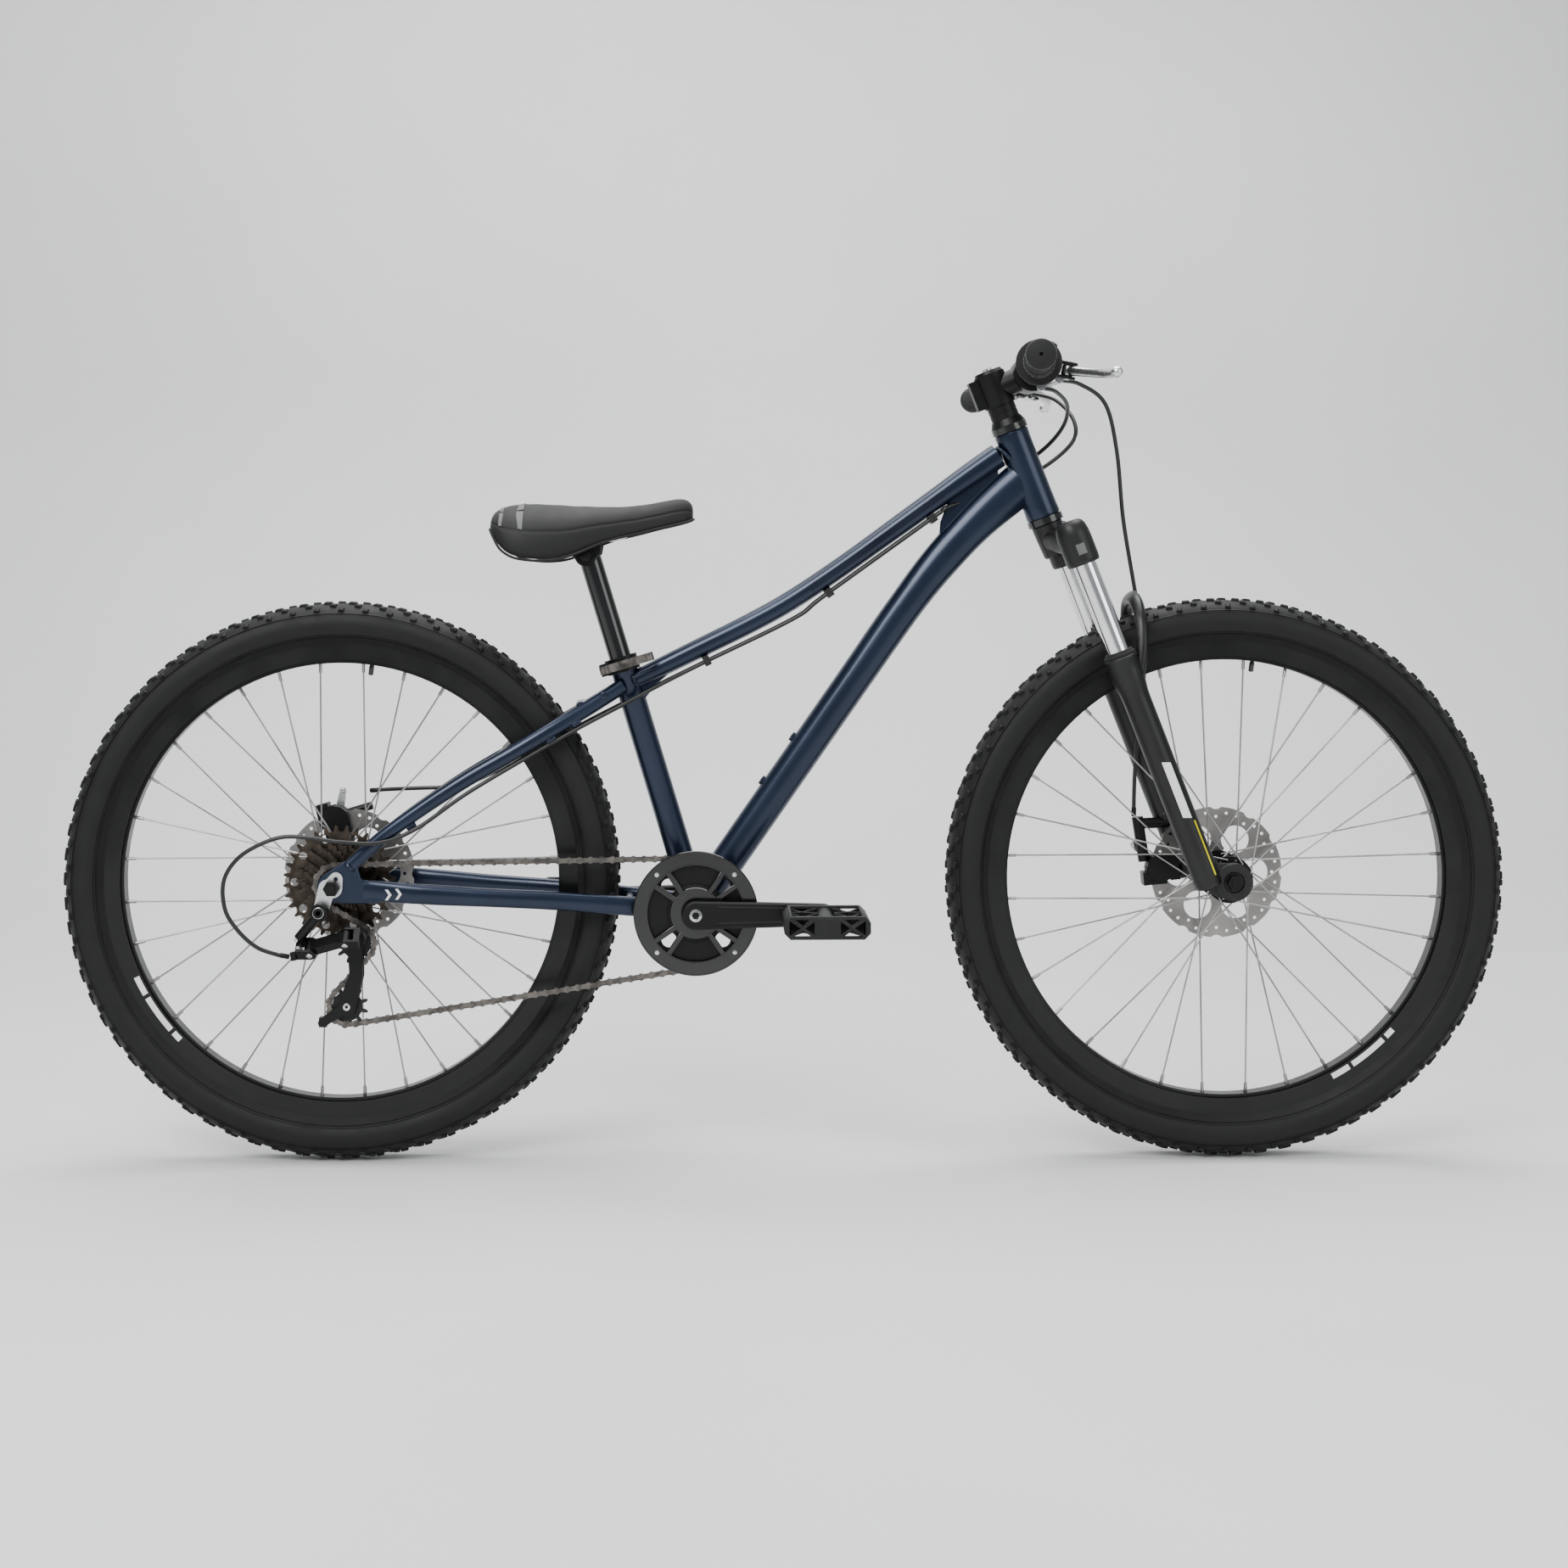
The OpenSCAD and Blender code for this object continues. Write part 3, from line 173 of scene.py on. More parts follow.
def soften(mesh, angle=35):
    """Smooth shading, with sharp edges kept above the angle."""
    mesh.polygons.foreach_set("use_smooth", [True] * len(mesh.polygons))
    mesh.set_sharp_from_angle(angle=math.radians(angle))


def join(name, pieces):
    """One object from several; each keeps its own material slots."""
    materials = []
    work = bmesh.new()
    for p in pieces:
        part = bmesh.new()
        evaluated = p.evaluated_get(bpy.context.evaluated_depsgraph_get())
        part.from_mesh(evaluated.to_mesh())
        part.transform(p.matrix_world)
        for m in p.data.materials:
            if m not in materials:
                materials.append(m)
        slots = [materials.index(m) for m in p.data.materials]
        for f in part.faces:
            f.material_index = slots[min(f.material_index, len(slots) - 1)]
        held = released(part, "held")
        work.from_mesh(held)
        bpy.data.meshes.remove(held)
    mesh = released(work, name)
    for m in materials:
        mesh.materials.append(m)
    for p in pieces:
        bpy.data.objects.remove(p)
    return linked(name, mesh)


def catmull(points, steps):
    """Points of a smooth curve through the given ones."""
    p = [Vector(q) for q in points]
    out = []
    for i in range(len(p) - 1):
        a, b = p[max(i - 1, 0)], p[i]
        c, d = p[i + 1], p[min(i + 2, len(p) - 1)]
        for s in range(steps):
            t = s / steps
            out.append(0.5 * (2 * b + (c - a) * t + (2 * a - 5 * b + 4 * c - d) * t * t
                              + (3 * b - a - 3 * c + d) * t ** 3))
    return out + [p[-1]]


def lerp_list(values, t):
    """The tuple at t, from 0 to 1, along a list of tuples, eased between entries."""
    x = t * (len(values) - 1)
    i = min(int(x), len(values) - 2)
    w = x - i
    w = w * w * (3 - 2 * w)
    return tuple(q * (1 - w) + r * w for q, r in zip(values[i], values[i + 1]))


def tube(name, points, size, material, steps=6, sides=24, power=1.0, side_axis=Y):
    """A tube along a smooth curve. size is a list along it of (half height, half width);
    half width is measured along side_axis. power under 1 squares the section off."""
    path = catmull(points, steps)
    lengths = [0]
    for a, b in zip(path, path[1:]):
        lengths.append(lengths[-1] + (b - a).length)
    side = Vector(side_axis)
    rows = []
    for i, p in enumerate(path):
        d = (path[min(i + 1, len(path) - 1)] - path[max(i - 1, 0)]).normalized()
        w = (side - d * side.dot(d)).normalized()
        u = d.cross(w)
        half_h, half_w = lerp_list(size, lengths[i] / lengths[-1])
        row = []
        for k in range(sides):
            a = 2 * math.pi * k / sides
            c, s = (math.copysign(abs(v) ** power, v) for v in (math.cos(a), math.sin(a)))
            row.append(p + u * half_h * s + w * half_w * c)
        rows.append(row)
    return make(name, *skin(rows), material)


def round_tube(name, points, radius, material, steps=6, sides=20):
    """A round tube of one radius along a smooth curve."""
    return tube(name, points, [(radius, radius)] * 2, material, steps, sides, side_axis=side_of(points))


def side_of(points):
    """An axis well away from the route's own direction."""
    d = Vector(points[-1]) - Vector(points[0])
    return Y if abs(d.y) < 0.8 * d.length else (0, 0, 1)


def revolve(name, profile, centre, axis, material, segments=64, closed=True, angle=35):
    """A solid of revolution. profile holds (radius, place along the axis)."""
    axis, u, w = square_to(axis)
    n = len(profile)
    verts, faces = [], []
    for s in range(segments):
        a = 2 * math.pi * s / segments
        d = u * math.cos(a) + w * math.sin(a)
        verts += [Vector(centre) + d * r + axis * h for r, h in profile]
        t = (s + 1) % segments
        for k in range(n if closed else n - 1):
            j = (k + 1) % n
            faces.append((s * n + k, s * n + j, t * n + j, t * n + k))
    if not closed:
        faces += [tuple(s * n + k for s in range(segments)) for k in (0, n - 1)]
    return make(name, verts, faces, material, angle=angle)


def rounded(r, h0, h1, bevel=1.0):
    """Open profile of a solid disc or pin with rounded rims, for revolve(closed=False)."""
    return [(r - bevel, h0), (r - 0.3 * bevel, h0 + 0.3 * bevel), (r, h0 + bevel),
            (r, h1 - bevel), (r - 0.3 * bevel, h1 - 0.3 * bevel), (r - bevel, h1)]


def disc(name, centre, axis, r, h0, h1, material, bevel=1.0, segments=40):
    """A solid disc or pin with rounded rims."""
    return revolve(name, rounded(r, h0, h1, bevel), centre, axis, material, segments, closed=False)


def slab(name, outline, y0, y1, material, bevel=0.8, holes=()):
    """A flat plate in the XZ plane from y0 to y1 with softened edges."""
    work = bmesh.new()
    for loop in [outline] + list(holes):
        ring = [work.verts.new((x * MM, y0 * MM, z * MM)) for x, z in loop]
        for a, b in zip(ring, ring[1:] + ring[:1]):
            work.edges.new((a, b))
    bmesh.ops.triangle_fill(work, use_beauty=True, edges=work.edges[:])
    bmesh.ops.dissolve_limit(work, angle_limit=0.01, verts=work.verts[:], edges=work.edges[:])
    out = bmesh.ops.extrude_face_region(work, geom=work.faces[:])
    moved = [g for g in out["geom"] if isinstance(g, bmesh.types.BMVert)]
    bmesh.ops.translate(work, verts=moved, vec=(0, (y1 - y0) * MM, 0))
    bmesh.ops.recalc_face_normals(work, faces=work.faces)
    piece = linked(name, released(work, name))
    piece.data.materials.append(material)
    if bevel:
        soft_edges(piece, bevel, 40)
    soften(piece.data)
    return piece


def soft_edges(piece, width, angle):
    """Softens edges sharper than the angle."""
    soft = piece.modifiers.new("edge", "BEVEL")
    soft.width = width * MM
    soft.segments = 2
    soft.limit_method = "ANGLE"
    soft.angle_limit = math.radians(angle)


def arc(cx, cz, r, a0, a1, n=10):
    """Points of an arc, in degrees."""
    return [(cx + r * math.cos(math.radians(a0 + (a1 - a0) * i / n)),
             cz + r * math.sin(math.radians(a0 + (a1 - a0) * i / n))) for i in range(n + 1)]


def circle(cx, cz, r, n=24):
    """Points of a circle."""
    return arc(cx, cz, r, 0, 360, n)[:-1]


def capsule(a, b, ra, rb=None, n=10):
    """Outline of two joined discs."""
    rb = ra if rb is None else rb
    (ax, az), (bx, bz) = a, b
    t = math.degrees(math.atan2(bz - az, bx - ax))
    return arc(bx, bz, rb, t - 90, t + 90, n) + arc(ax, az, ra, t + 90, t + 270, n)


def both(piece):
    """The piece and its mirror image."""
    copy = piece.copy()
    copy.data = piece.data.copy()
    copy.name = piece.name + "_left"
    bpy.context.scene.collection.objects.link(copy)
    return [piece, flip(copy)]


def paint(material, *nodes, angle=35):
    """Gives CAD nodes their finish."""
    for node in nodes:
        mesh = NODES[node].data
        mesh.materials.clear()
        mesh.materials.append(material)
        mesh.polygons.foreach_set("material_index", [0] * len(mesh.polygons))
        soften(mesh, angle)


def settle(piece, body, *nodes, slot=None):
    """Puts a finished piece on its body, in place of CAD nodes."""
    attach(piece, body)
    if nodes:
        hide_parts(*nodes)
    return piece


# ---------------------------------------------------------------- materials
def shader(name):
    """A new material with its nodes, links and surface shader."""
    m = bpy.data.materials.new(name)
    m.use_nodes = True
    nodes, links = m.node_tree.nodes, m.node_tree.links
    return m, nodes, links, nodes["Principled BSDF"]


def noise(nodes, links, coords, scale, detail=4.0, stretch=None):
    n = nodes.new("ShaderNodeTexNoise")
    n.inputs["Scale"].default_value = scale
    n.inputs["Detail"].default_value = detail
    if stretch:
        mapping = nodes.new("ShaderNodeMapping")
        mapping.inputs["Scale"].default_value = stretch
        links.new(coords, mapping.inputs["Vector"])
        coords = mapping.outputs["Vector"]
    links.new(coords, n.inputs["Vector"])
    return n.outputs["Fac"]


def spread(nodes, links, value, low, high, from_low=0.3, from_high=0.7):
    r = nodes.new("ShaderNodeMapRange")
    r.inputs["From Min"].default_value = from_low
    r.inputs["From Max"].default_value = from_high
    r.inputs["To Min"].default_value = low
    r.inputs["To Max"].default_value = high
    links.new(value, r.inputs["Value"])
    return r.outputs["Result"]


def two_tone(nodes, links, value, a, b):
    ramp = nodes.new("ShaderNodeValToRGB")
    ramp.color_ramp.elements[0].position = 0.35
    ramp.color_ramp.elements[1].position = 0.65
    ramp.color_ramp.elements[0].color = (*a, 1)
    ramp.color_ramp.elements[1].color = (*b, 1)
    links.new(value, ramp.inputs["Fac"])
    return ramp.outputs["Color"]


def finish_material(name, dark, light, rough, metallic=0.0, coat=0.0, coat_rough=0.1, grain=900,
                    bump=0.05, mottle=18, edge=None, stretch=None, sheen=0.0, depth=0.0003):
    """A surface whose colour, roughness and height vary. rough is (low, high).
    edge, if given, is the colour that shows through on worn edges."""
    m, nodes, links, bsdf = shader(name)
    where = nodes.new("ShaderNodeTexCoord").outputs["Object"]
    broad = noise(nodes, links, where, mottle, 5)
    fine = noise(nodes, links, where, grain, 3, stretch)
    colour = two_tone(nodes, links, broad, dark, light)
    if edge:
        geometry = nodes.new("ShaderNodeNewGeometry")
        worn = spread(nodes, links, geometry.outputs["Pointiness"], 0, 0.55, 0.53, 0.6)
        broken = nodes.new("ShaderNodeMath")
        broken.operation = "MULTIPLY"
        links.new(worn, broken.inputs[0])
        links.new(spread(nodes, links, noise(nodes, links, where, 220, 4), 0, 1), broken.inputs[1])
        mix = nodes.new("ShaderNodeMix")
        mix.data_type = "RGBA"
        mix.inputs["B"].default_value = (*edge, 1)
        links.new(broken.outputs[0], mix.inputs["Factor"])
        links.new(colour, mix.inputs["A"])
        colour = mix.outputs["Result"]
    links.new(colour, bsdf.inputs["Base Color"])
    links.new(spread(nodes, links, broad, *rough), bsdf.inputs["Roughness"])
    bsdf.inputs["Metallic"].default_value = metallic
    bsdf.inputs["Coat Weight"].default_value = coat
    bsdf.inputs["Coat Roughness"].default_value = coat_rough
    bsdf.inputs["Sheen Weight"].default_value = sheen
    lump = nodes.new("ShaderNodeBump")
    lump.inputs["Strength"].default_value = bump
    lump.inputs["Distance"].default_value = depth
    links.new(fine, lump.inputs["Height"])
    links.new(lump.outputs["Normal"], bsdf.inputs["Normal"])
    return m


def grey(v, warm=0.0):
    return (v * (1 + warm), v, v * (1 - warm))


PAINT = finish_material("navy_paint", (0.013, 0.022, 0.046), (0.018, 0.029, 0.058), (0.26, 0.36),
                        metallic=0.5, coat=0.5, coat_rough=0.2, grain=2600, bump=0.06, mottle=9)
CASTING = finish_material("fork_casting", grey(0.010), grey(0.016), (0.36, 0.48), coat=0.15,
                          coat_rough=0.3, grain=1500, bump=0.1, edge=grey(0.05))
BLACK_ALLOY = finish_material("black_alloy", grey(0.007), grey(0.011), (0.34, 0.46), metallic=0.2,
                              grain=1800, bump=0.05)
GLOSS_BLACK = finish_material("gloss_black", grey(0.008), grey(0.013), (0.12, 0.2), coat=0.8,
                              coat_rough=0.08, grain=1200, bump=0.03)
BLACK_PLASTIC = finish_material("black_plastic", grey(0.010), grey(0.018), (0.42, 0.58), grain=1400,
                                bump=0.22, edge=grey(0.04))
RIM_BLACK = finish_material("rim_black", grey(0.008), grey(0.014), (0.3, 0.42), metallic=0.2,
                            coat=0.25, coat_rough=0.2, grain=1500, bump=0.05)
SPOKE_STEEL = finish_material("spoke_steel", grey(0.32, 0.02), grey(0.46, 0.02), (0.24, 0.38),
                              metallic=0.9, grain=700, bump=0.05)
ROTOR_STEEL = finish_material("rotor_steel", grey(0.26, 0.03), grey(0.40, 0.03), (0.28, 0.42),
                              metallic=0.92, grain=260, bump=0.12)
SILVER = finish_material("silver_alloy", grey(0.58), grey(0.74), (0.2, 0.34), metallic=0.95,
                         grain=900, bump=0.06)
CHROME = finish_material("chrome", grey(0.70), grey(0.80), (0.05, 0.12), metallic=1.0,
                         grain=500, bump=0.01)
CHAIN_STEEL = finish_material("chain_steel", grey(0.10, 0.06), grey(0.22, 0.08), (0.3, 0.48),
                              metallic=0.9, grain=600, bump=0.1, mottle=120)
COG_STEEL = finish_material("cog_steel", (0.055, 0.046, 0.038), (0.11, 0.092, 0.075), (0.32, 0.5),
                            metallic=0.85, grain=500, bump=0.1, mottle=90)
RUBBER = finish_material("soft_rubber", grey(0.012), grey(0.021), (0.6, 0.78), grain=1600,
                         bump=0.3, sheen=0.1)
TYRE = finish_material("tyre_rubber", grey(0.007), grey(0.013), (0.55, 0.72), grain=700,
                       bump=0.3, mottle=30, sheen=0.06)
VINYL = finish_material("saddle_vinyl", grey(0.010), grey(0.015), (0.55, 0.7), grain=1300,
                        bump=0.4, sheen=0.08)
HOUSING = finish_material("cable_housing", grey(0.016), grey(0.026), (0.3, 0.42), coat=0.3,
                          grain=900, bump=0.08)
WHITE_PRINT = finish_material("white_print", grey(0.72), grey(0.82), (0.4, 0.5), grain=900, bump=0.04)
YELLOW_PRINT = finish_material("yellow_print", (0.62, 0.56, 0.02), (0.72, 0.66, 0.04), (0.4, 0.5),
                               grain=900, bump=0.04)
GREY_PRINT = finish_material("grey_print", grey(0.11), grey(0.16), (0.45, 0.55), grain=900, bump=0.04)
REFLECTOR = finish_material("reflector", grey(0.55), grey(0.7), (0.08, 0.16), coat=1.0,
                            coat_rough=0.03, grain=260, bump=0.5)
DARK_PRINT = finish_material("dark_print", (0.008, 0.012, 0.03), (0.012, 0.018, 0.04), (0.3, 0.4),
                             metallic=0.3, coat=0.5, grain=1500, bump=0.03)


# ---------------------------------------------------------------- wheels
TYRE_R = 337
CASING_R = 333.6
CASING_HALF = 27
# Middle of the casing's section
CASING_MID = TYRE_R - 28
TREAD_PITCHES = 70
# Across the tread: place, shift along it as a part of a pitch, length and width of the block
TREAD = ((4.6, 0, 9, 6), (-4.6, 0.5, 9, 6), (12.5, 0.25, 7, 5), (-12.5, 0.75, 7, 5), (19.5, 0.6, 6, 5),
         (-19.5, 0.1, 6, 5))


def casing_profile():
    """Half-open ring of the casing's section: (radius, y), outside then inside."""
    outer = [(285, -12.5)]
    for i in range(25):
        a = math.radians(-142 + 284 * i / 24)
        outer.append((CASING_MID + (CASING_R - CASING_MID) * math.cos(a), CASING_HALF * math.sin(a)))
    inner = [(285, 12.5), (286.5, 10)]
    for i in range(13):
        a = math.radians(130 - 260 * i / 12)
        inner.append((CASING_MID + 20 * math.cos(a), 22 * math.sin(a)))
    return outer + inner + [(286.5, -10)]


def casing_radius(y):
    """Radius of the tread's surface at a distance from the middle."""
    return CASING_MID + (CASING_R - CASING_MID) * math.sqrt(max(0, 1 - (y / CASING_HALF) ** 2))


def knob(work, centre, angle, y, length, width, height, turn=0.0):
    """One block of tread: a tapered box that stands on the casing."""
    lean = math.atan2(y, CASING_HALF) * 1.1
    r = casing_radius(y)
    base = Vector((0, y, r - 1.2))
    out = Vector((0, math.sin(lean), math.cos(lean)))
    along = Vector((1, 0, 0))
    side = out.cross(along)
    along2 = along * math.cos(turn) + side * math.sin(turn)
    side2 = side * math.cos(turn) - along * math.sin(turn)
    spin = Matrix.Rotation(angle, 3, "Y")
    ring = []
    for h, k in ((0, 1.12), (height * 0.75 + 1.2, 1.0), (height + 1.2, 0.8)):
        for a, b in ((-1, -1), (1, -1), (1, 1), (-1, 1)):
            p = base + out * h + along2 * (a * length * k / 2) + side2 * (b * width * k / 2)
            ring.append(work.verts.new((centre + spin @ p) * MM))
    for level in (0, 4):
        for i in range(4):
            j = (i + 1) % 4
            work.faces.new((ring[level + i], ring[level + j], ring[level + 4 + j], ring[level + 4 + i]))
    work.faces.new(ring[8:12])
    work.faces.new(ring[3::-1])


def tyre(centre, name):
    """Casing with its tread blocks, moulded ribs and valve."""
    work = bmesh.new()
    step = 2 * math.pi / TREAD_PITCHES
    for i in range(TREAD_PITCHES):
        for y, shift, length, width in TREAD:
            knob(work, centre, (i + shift) * step, y, length, width, 2.6, math.radians(12 if y > 0 else -12))
    bmesh.ops.recalc_face_normals(work, faces=work.faces)
    knobs = linked("knobs", released(work, "knobs"))
    knobs.data.materials.append(TYRE)
    parts = [revolve("casing", casing_profile(), centre, Y, TYRE, 180, angle=50), knobs]
    # Fine ribs moulded on both sidewalls, over the bead
    for side in (-1, 1):
        for r, y in ((293, 20.6), (296, 22.2), (322, 24.3)):
            parts.append(revolve("rib", [(r - 0.7, side * y), (r, side * (y + 1.2)), (r + 0.7, side * y)],
                                 centre, Y, TYRE, 128))
    # Valve with its cap
    lean = math.radians(8)
    up = Vector((math.sin(lean), 0, math.cos(lean)))
    valve = [(2.2, -2), (3.1, -1), (3.1, 9), (2.6, 9.4), (2.6, 30)]
    parts.append(revolve("valve", valve, centre + up * 251, up, GLOSS_BLACK, 20, closed=False))
    whole = join(name, parts)
    soften(whole.data, 50)
    return whole


def rim_marks(centre, name, turn):
    """Plain light bars on both sides of a rim, where the real one is printed."""
    parts = []
    for side in (-1, 1):
        for a0, a1 in ((0, 5), (6, 16), (17, 19.5)):
            rows = []
            for i in range(11):
                a = math.radians(turn + a0 + (a1 - a0) * i / 10)
                rows.append([centre + Vector((r * math.cos(a), side * y, r * math.sin(a)))
                             for r, y in ((268.5, 13.05), (275.5, 13.05), (275.5, 12.7), (268.5, 12.7))])
            parts.append(make("mark", *skin(rows), WHITE_PRINT, smooth=False))
    return join(name, parts)


def wheels():
    """Tyres, rim marks and the finishes of both wheels."""
    for centre, end, turn in ((FRONT, "front", -62), (REAR, "rear", 205)):
        settle(tyre(centre, end + "_tyre_skin"), end + "_wheel", end + "_tyre", slot="tyre")
        settle(rim_marks(centre, end + "_rim_marks", turn), end + "_wheel", slot="rim")
        paint(RIM_BLACK, end + "_rim")
        paint(SPOKE_STEEL, end + "_spokes", angle=30)
        paint(BLACK_ALLOY, end + "_hub")
        paint(ROTOR_STEEL, end + "_rotor")


# ---------------------------------------------------------------- frame
HEAD_LEN = 111


def weld(name, centre, axis, radius, flare=1.0):
    """A bead of overlapping ripples round a tube joint."""
    axis, u, w = square_to(axis, Y, (0, 0, 1))
    around, section = 96, 8
    rows = []
    for i in range(around):
        a = 2 * math.pi * i / around
        d = u * math.cos(a) + w * math.sin(a) * flare
        swell = 1.9 + 0.45 * abs(math.sin(a * 16))
        turns = [2 * math.pi * k / section for k in range(section)]
        rows.append([Vector(centre) + d * (radius + swell * math.cos(b)) + axis * swell * 1.3 * math.sin(b)
                     for b in turns])
    return make(name, *skin(rows, loop=True), PAINT)


DOWN_ROUTE = [(-105, 0, 302.6), (-45, 0, 388.3), (20, 0, 481), (84, 0, 572.3), (146, 0, 660.5),
              (190, 0, 717), (238, 0, 768), (291, 0, 814)]
TOP_ROUTE = [(-184, 0, 573.4), (-110, 0, 609.8), (-40, 0, 644), (10, 0, 671.5), (70, 0, 711),
             (140, 0, 760.8), (210, 0, 810.7), (262, 0, 846)]


def front_triangle():
    parts = []
    up = steer(0, 0, 1) - HEAD
    head = [(18.2, -HEAD_LEN), (20.3, -HEAD_LEN + 0.6), (20.9, -HEAD_LEN + 3), (20.4, -HEAD_LEN + 14),
            (20.2, -60), (20.4, -14), (20.9, -3), (20.3, -0.6), (18.2, 0), (17, -2), (17, 2 - HEAD_LEN)]
    parts.append(revolve("head_tube", head, HEAD, up, PAINT, 72))
    parts.append(tube("top_tube", TOP_ROUTE, [(11.4, 14.5), (12, 15), (12.2, 15.5), (12.2, 16), (13, 16.5),
                                              (15, 16)], PAINT, 8, 32, 0.82))
    parts.append(tube("down_tube", DOWN_ROUTE, [(20.5, 19), (20.5, 20), (20.5, 20.5), (20.5, 20.5),
                                                (21, 20), (23, 18.5), (26, 16.5)], PAINT, 8, 36, 0.9))
    seat_dir = seat(0, 0, 1) - seat(0, 0, 0)
    seat_profile = [(15.9, 10), (15.9, 309), (17.2, 311), (17.2, 313), (13.7, 313), (13.7, 200), (13.7, 10)]
    parts.append(revolve("seat_tube", seat_profile, BB, seat_dir, PAINT, 48))
    shell = [(17.4, -35), (20, -34.6), (20.4, -33), (20.4, 33), (20, 34.6), (17.4, 35), (17.1, 34),
             (17.1, -34)]
    parts.append(revolve("bottom_bracket", shell, BB, Y, PAINT, 56))
    # Folded gusset in the corner of the seat tube and the top tube
    gusset = [(-188, 533), (-176, 542), (-150, 573), (-118, 600), (-125, 606), (-192, 578)]
    parts.append(slab("gusset", gusset, -6, 6, PAINT, 1.5))
    # Gusset under the top tube at the head
    parts.append(slab("head_gusset", [(190, 742), (228, 772), (262, 812), (262, 830), (226, 812), (202, 792),
                                      (192, 766)], -5, 5, PAINT, 1.5))
    down_dir = Vector((math.cos(math.radians(55)), 0, math.sin(math.radians(55))))
    normal = Vector((-down_dir.z, 0, down_dir.x))
    for s in (171, 235):
        at = BB + down_dir * s
        collar = [(5.8, 18), (5.8, 23.1), (5.4, 23.5), (2.2, 23.5), (2.2, 19)]
        parts.append(revolve("boss", collar, at, normal, PAINT, 28))
    parts.append(weld("weld_head_top", steer(-17.5, 0, -25), steer(-1, 0, -0.45) - HEAD, 13.4, 1.18))
    parts.append(weld("weld_seat_top", (-178, 0, 576.3), (0.9, 0, 0.44), 10.6, 1.4))
    parts.append(weld("weld_bb_down", (-92.5, 0, 320.6), down_dir, 20.3, 1.0))
    parts.append(weld("weld_bb_seat", seat(0, 0, 20.2), seat_dir, 15.8, 1.0))
    return join("front_triangle_skin", parts)


SEAT_STAY = [(-192, 14, 570), (-232, 28, 545), (-278, 43, 518.5), (-325, 52, 491), (-375, 58, 462.5),
             (-424, 62.5, 431), (-471, 66.5, 397.5), (-512, 70.2, 362)]
CHAIN_STAY = [(-116, 25, 303.4), (-150, 34, 306), (-190, 43.5, 310), (-270, 52.5, 317.5),
              (-364, 61, 323.5), (-430, 66, 328), (-496, 70.2, 333)]


def dropout_outline():
    """Outline of the left drop-out plate around the axle."""
    ring = arc(REAR.x, REAR.z, 18.5, 125, 285, 14)
    ring += [(REAR.x + 22, REAR.z - 19.5)] + arc(REAR.x + 50, REAR.z - 9, 10, -80, 60, 8)
    ring += [(REAR.x + 33, REAR.z + 10)] + arc(REAR.x + 20, REAR.z + 24, 9, 10, 120, 6)
    return ring


def rear_triangle():
    left = [tube("seat_stay", SEAT_STAY, [(9, 7), (9.4, 8), (9.2, 8.4), (9, 8.4), (8.6, 8), (8.4, 6)],
                 PAINT, 8, 24, 0.9),
            tube("chain_stay", CHAIN_STAY, [(13, 8), (11.5, 7), (11, 7.8), (11, 8.2), (12, 8), (12.5, 4.5)],
                 PAINT, 8, 24, 0.85),
            slab("dropout", dropout_outline(), 67.6, 73.5, PAINT, 1.2, [circle(REAR.x, REAR.z, 5.3)]),
            disc("stay_end", (-512, 70.4, 361.5), (-0.66, 0.05, -0.74), 8.2, -2, 3, PAINT, 2)]
    parts = []
    for piece in left:
        parts += both(piece)
    parts.append(round_tube("bridge", [(-241, -31, 545.5), (-243, 0, 546.5), (-241, 31, 545.5)], 6.8, PAINT))
    low = [(-187, -42, 309.5), (-186, 0, 309.5), (-187, 42, 309.5)]
    parts.append(round_tube("bridge_low", low, 6, PAINT))
    # Cable stops brazed under the right stay and rack eyelets
    for at in ((-247, -37, 527), (-277, -44.5, 508.5), (-441, -64.5, 409)):
        parts.append(disc("stop", at, (-0.86, -0.25, -0.45), 4.2, -6, 6, PAINT, 0.8, 20))
    for y in (-21, 21):
        parts.append(disc("rack_eye", (-214, y, 559), (0, 1 if y > 0 else -1, 0), 4.5, 0, 9, PAINT, 0.8, 20))
    return join("rear_triangle_skin", parts)


def chevron(x, z, size):
    """Outline of one plain chevron."""
    return [(x, z - size), (x + size * 0.55, z - size), (x + size * 1.25, z), (x + size * 0.55, z + size),
            (x, z + size), (x + size * 0.7, z)]


def frame_marks():
    """Generic marks: two chevrons on the right chain stay."""
    parts = []
    for x in (-470, -458):
        outline = chevron(x, 329 + (x + 464) * 0.06, 6.2)
        parts.append(slab("chevron", outline, -77.0, -75.2, WHITE_PRINT, 0))
    return join("stay_marks", parts)


def band(name, route, first, last, y, half, material):
    """A thin strip along the side of a tube."""
    path = [p for p in catmull(route, 12) if first < p.x < last]
    rows = []
    for i, p in enumerate(path):
        d = (path[min(i + 1, len(path) - 1)] - path[max(i - 1, 0)]).normalized()
        up = Vector((-d.z, 0, d.x))
        rows.append([Vector((p.x, across, p.z)) + up * h
                     for h, across in ((-half, y), (half, y), (half, y * 0.93), (-half, y * 0.93))])
    return make(name, *skin(rows), material)


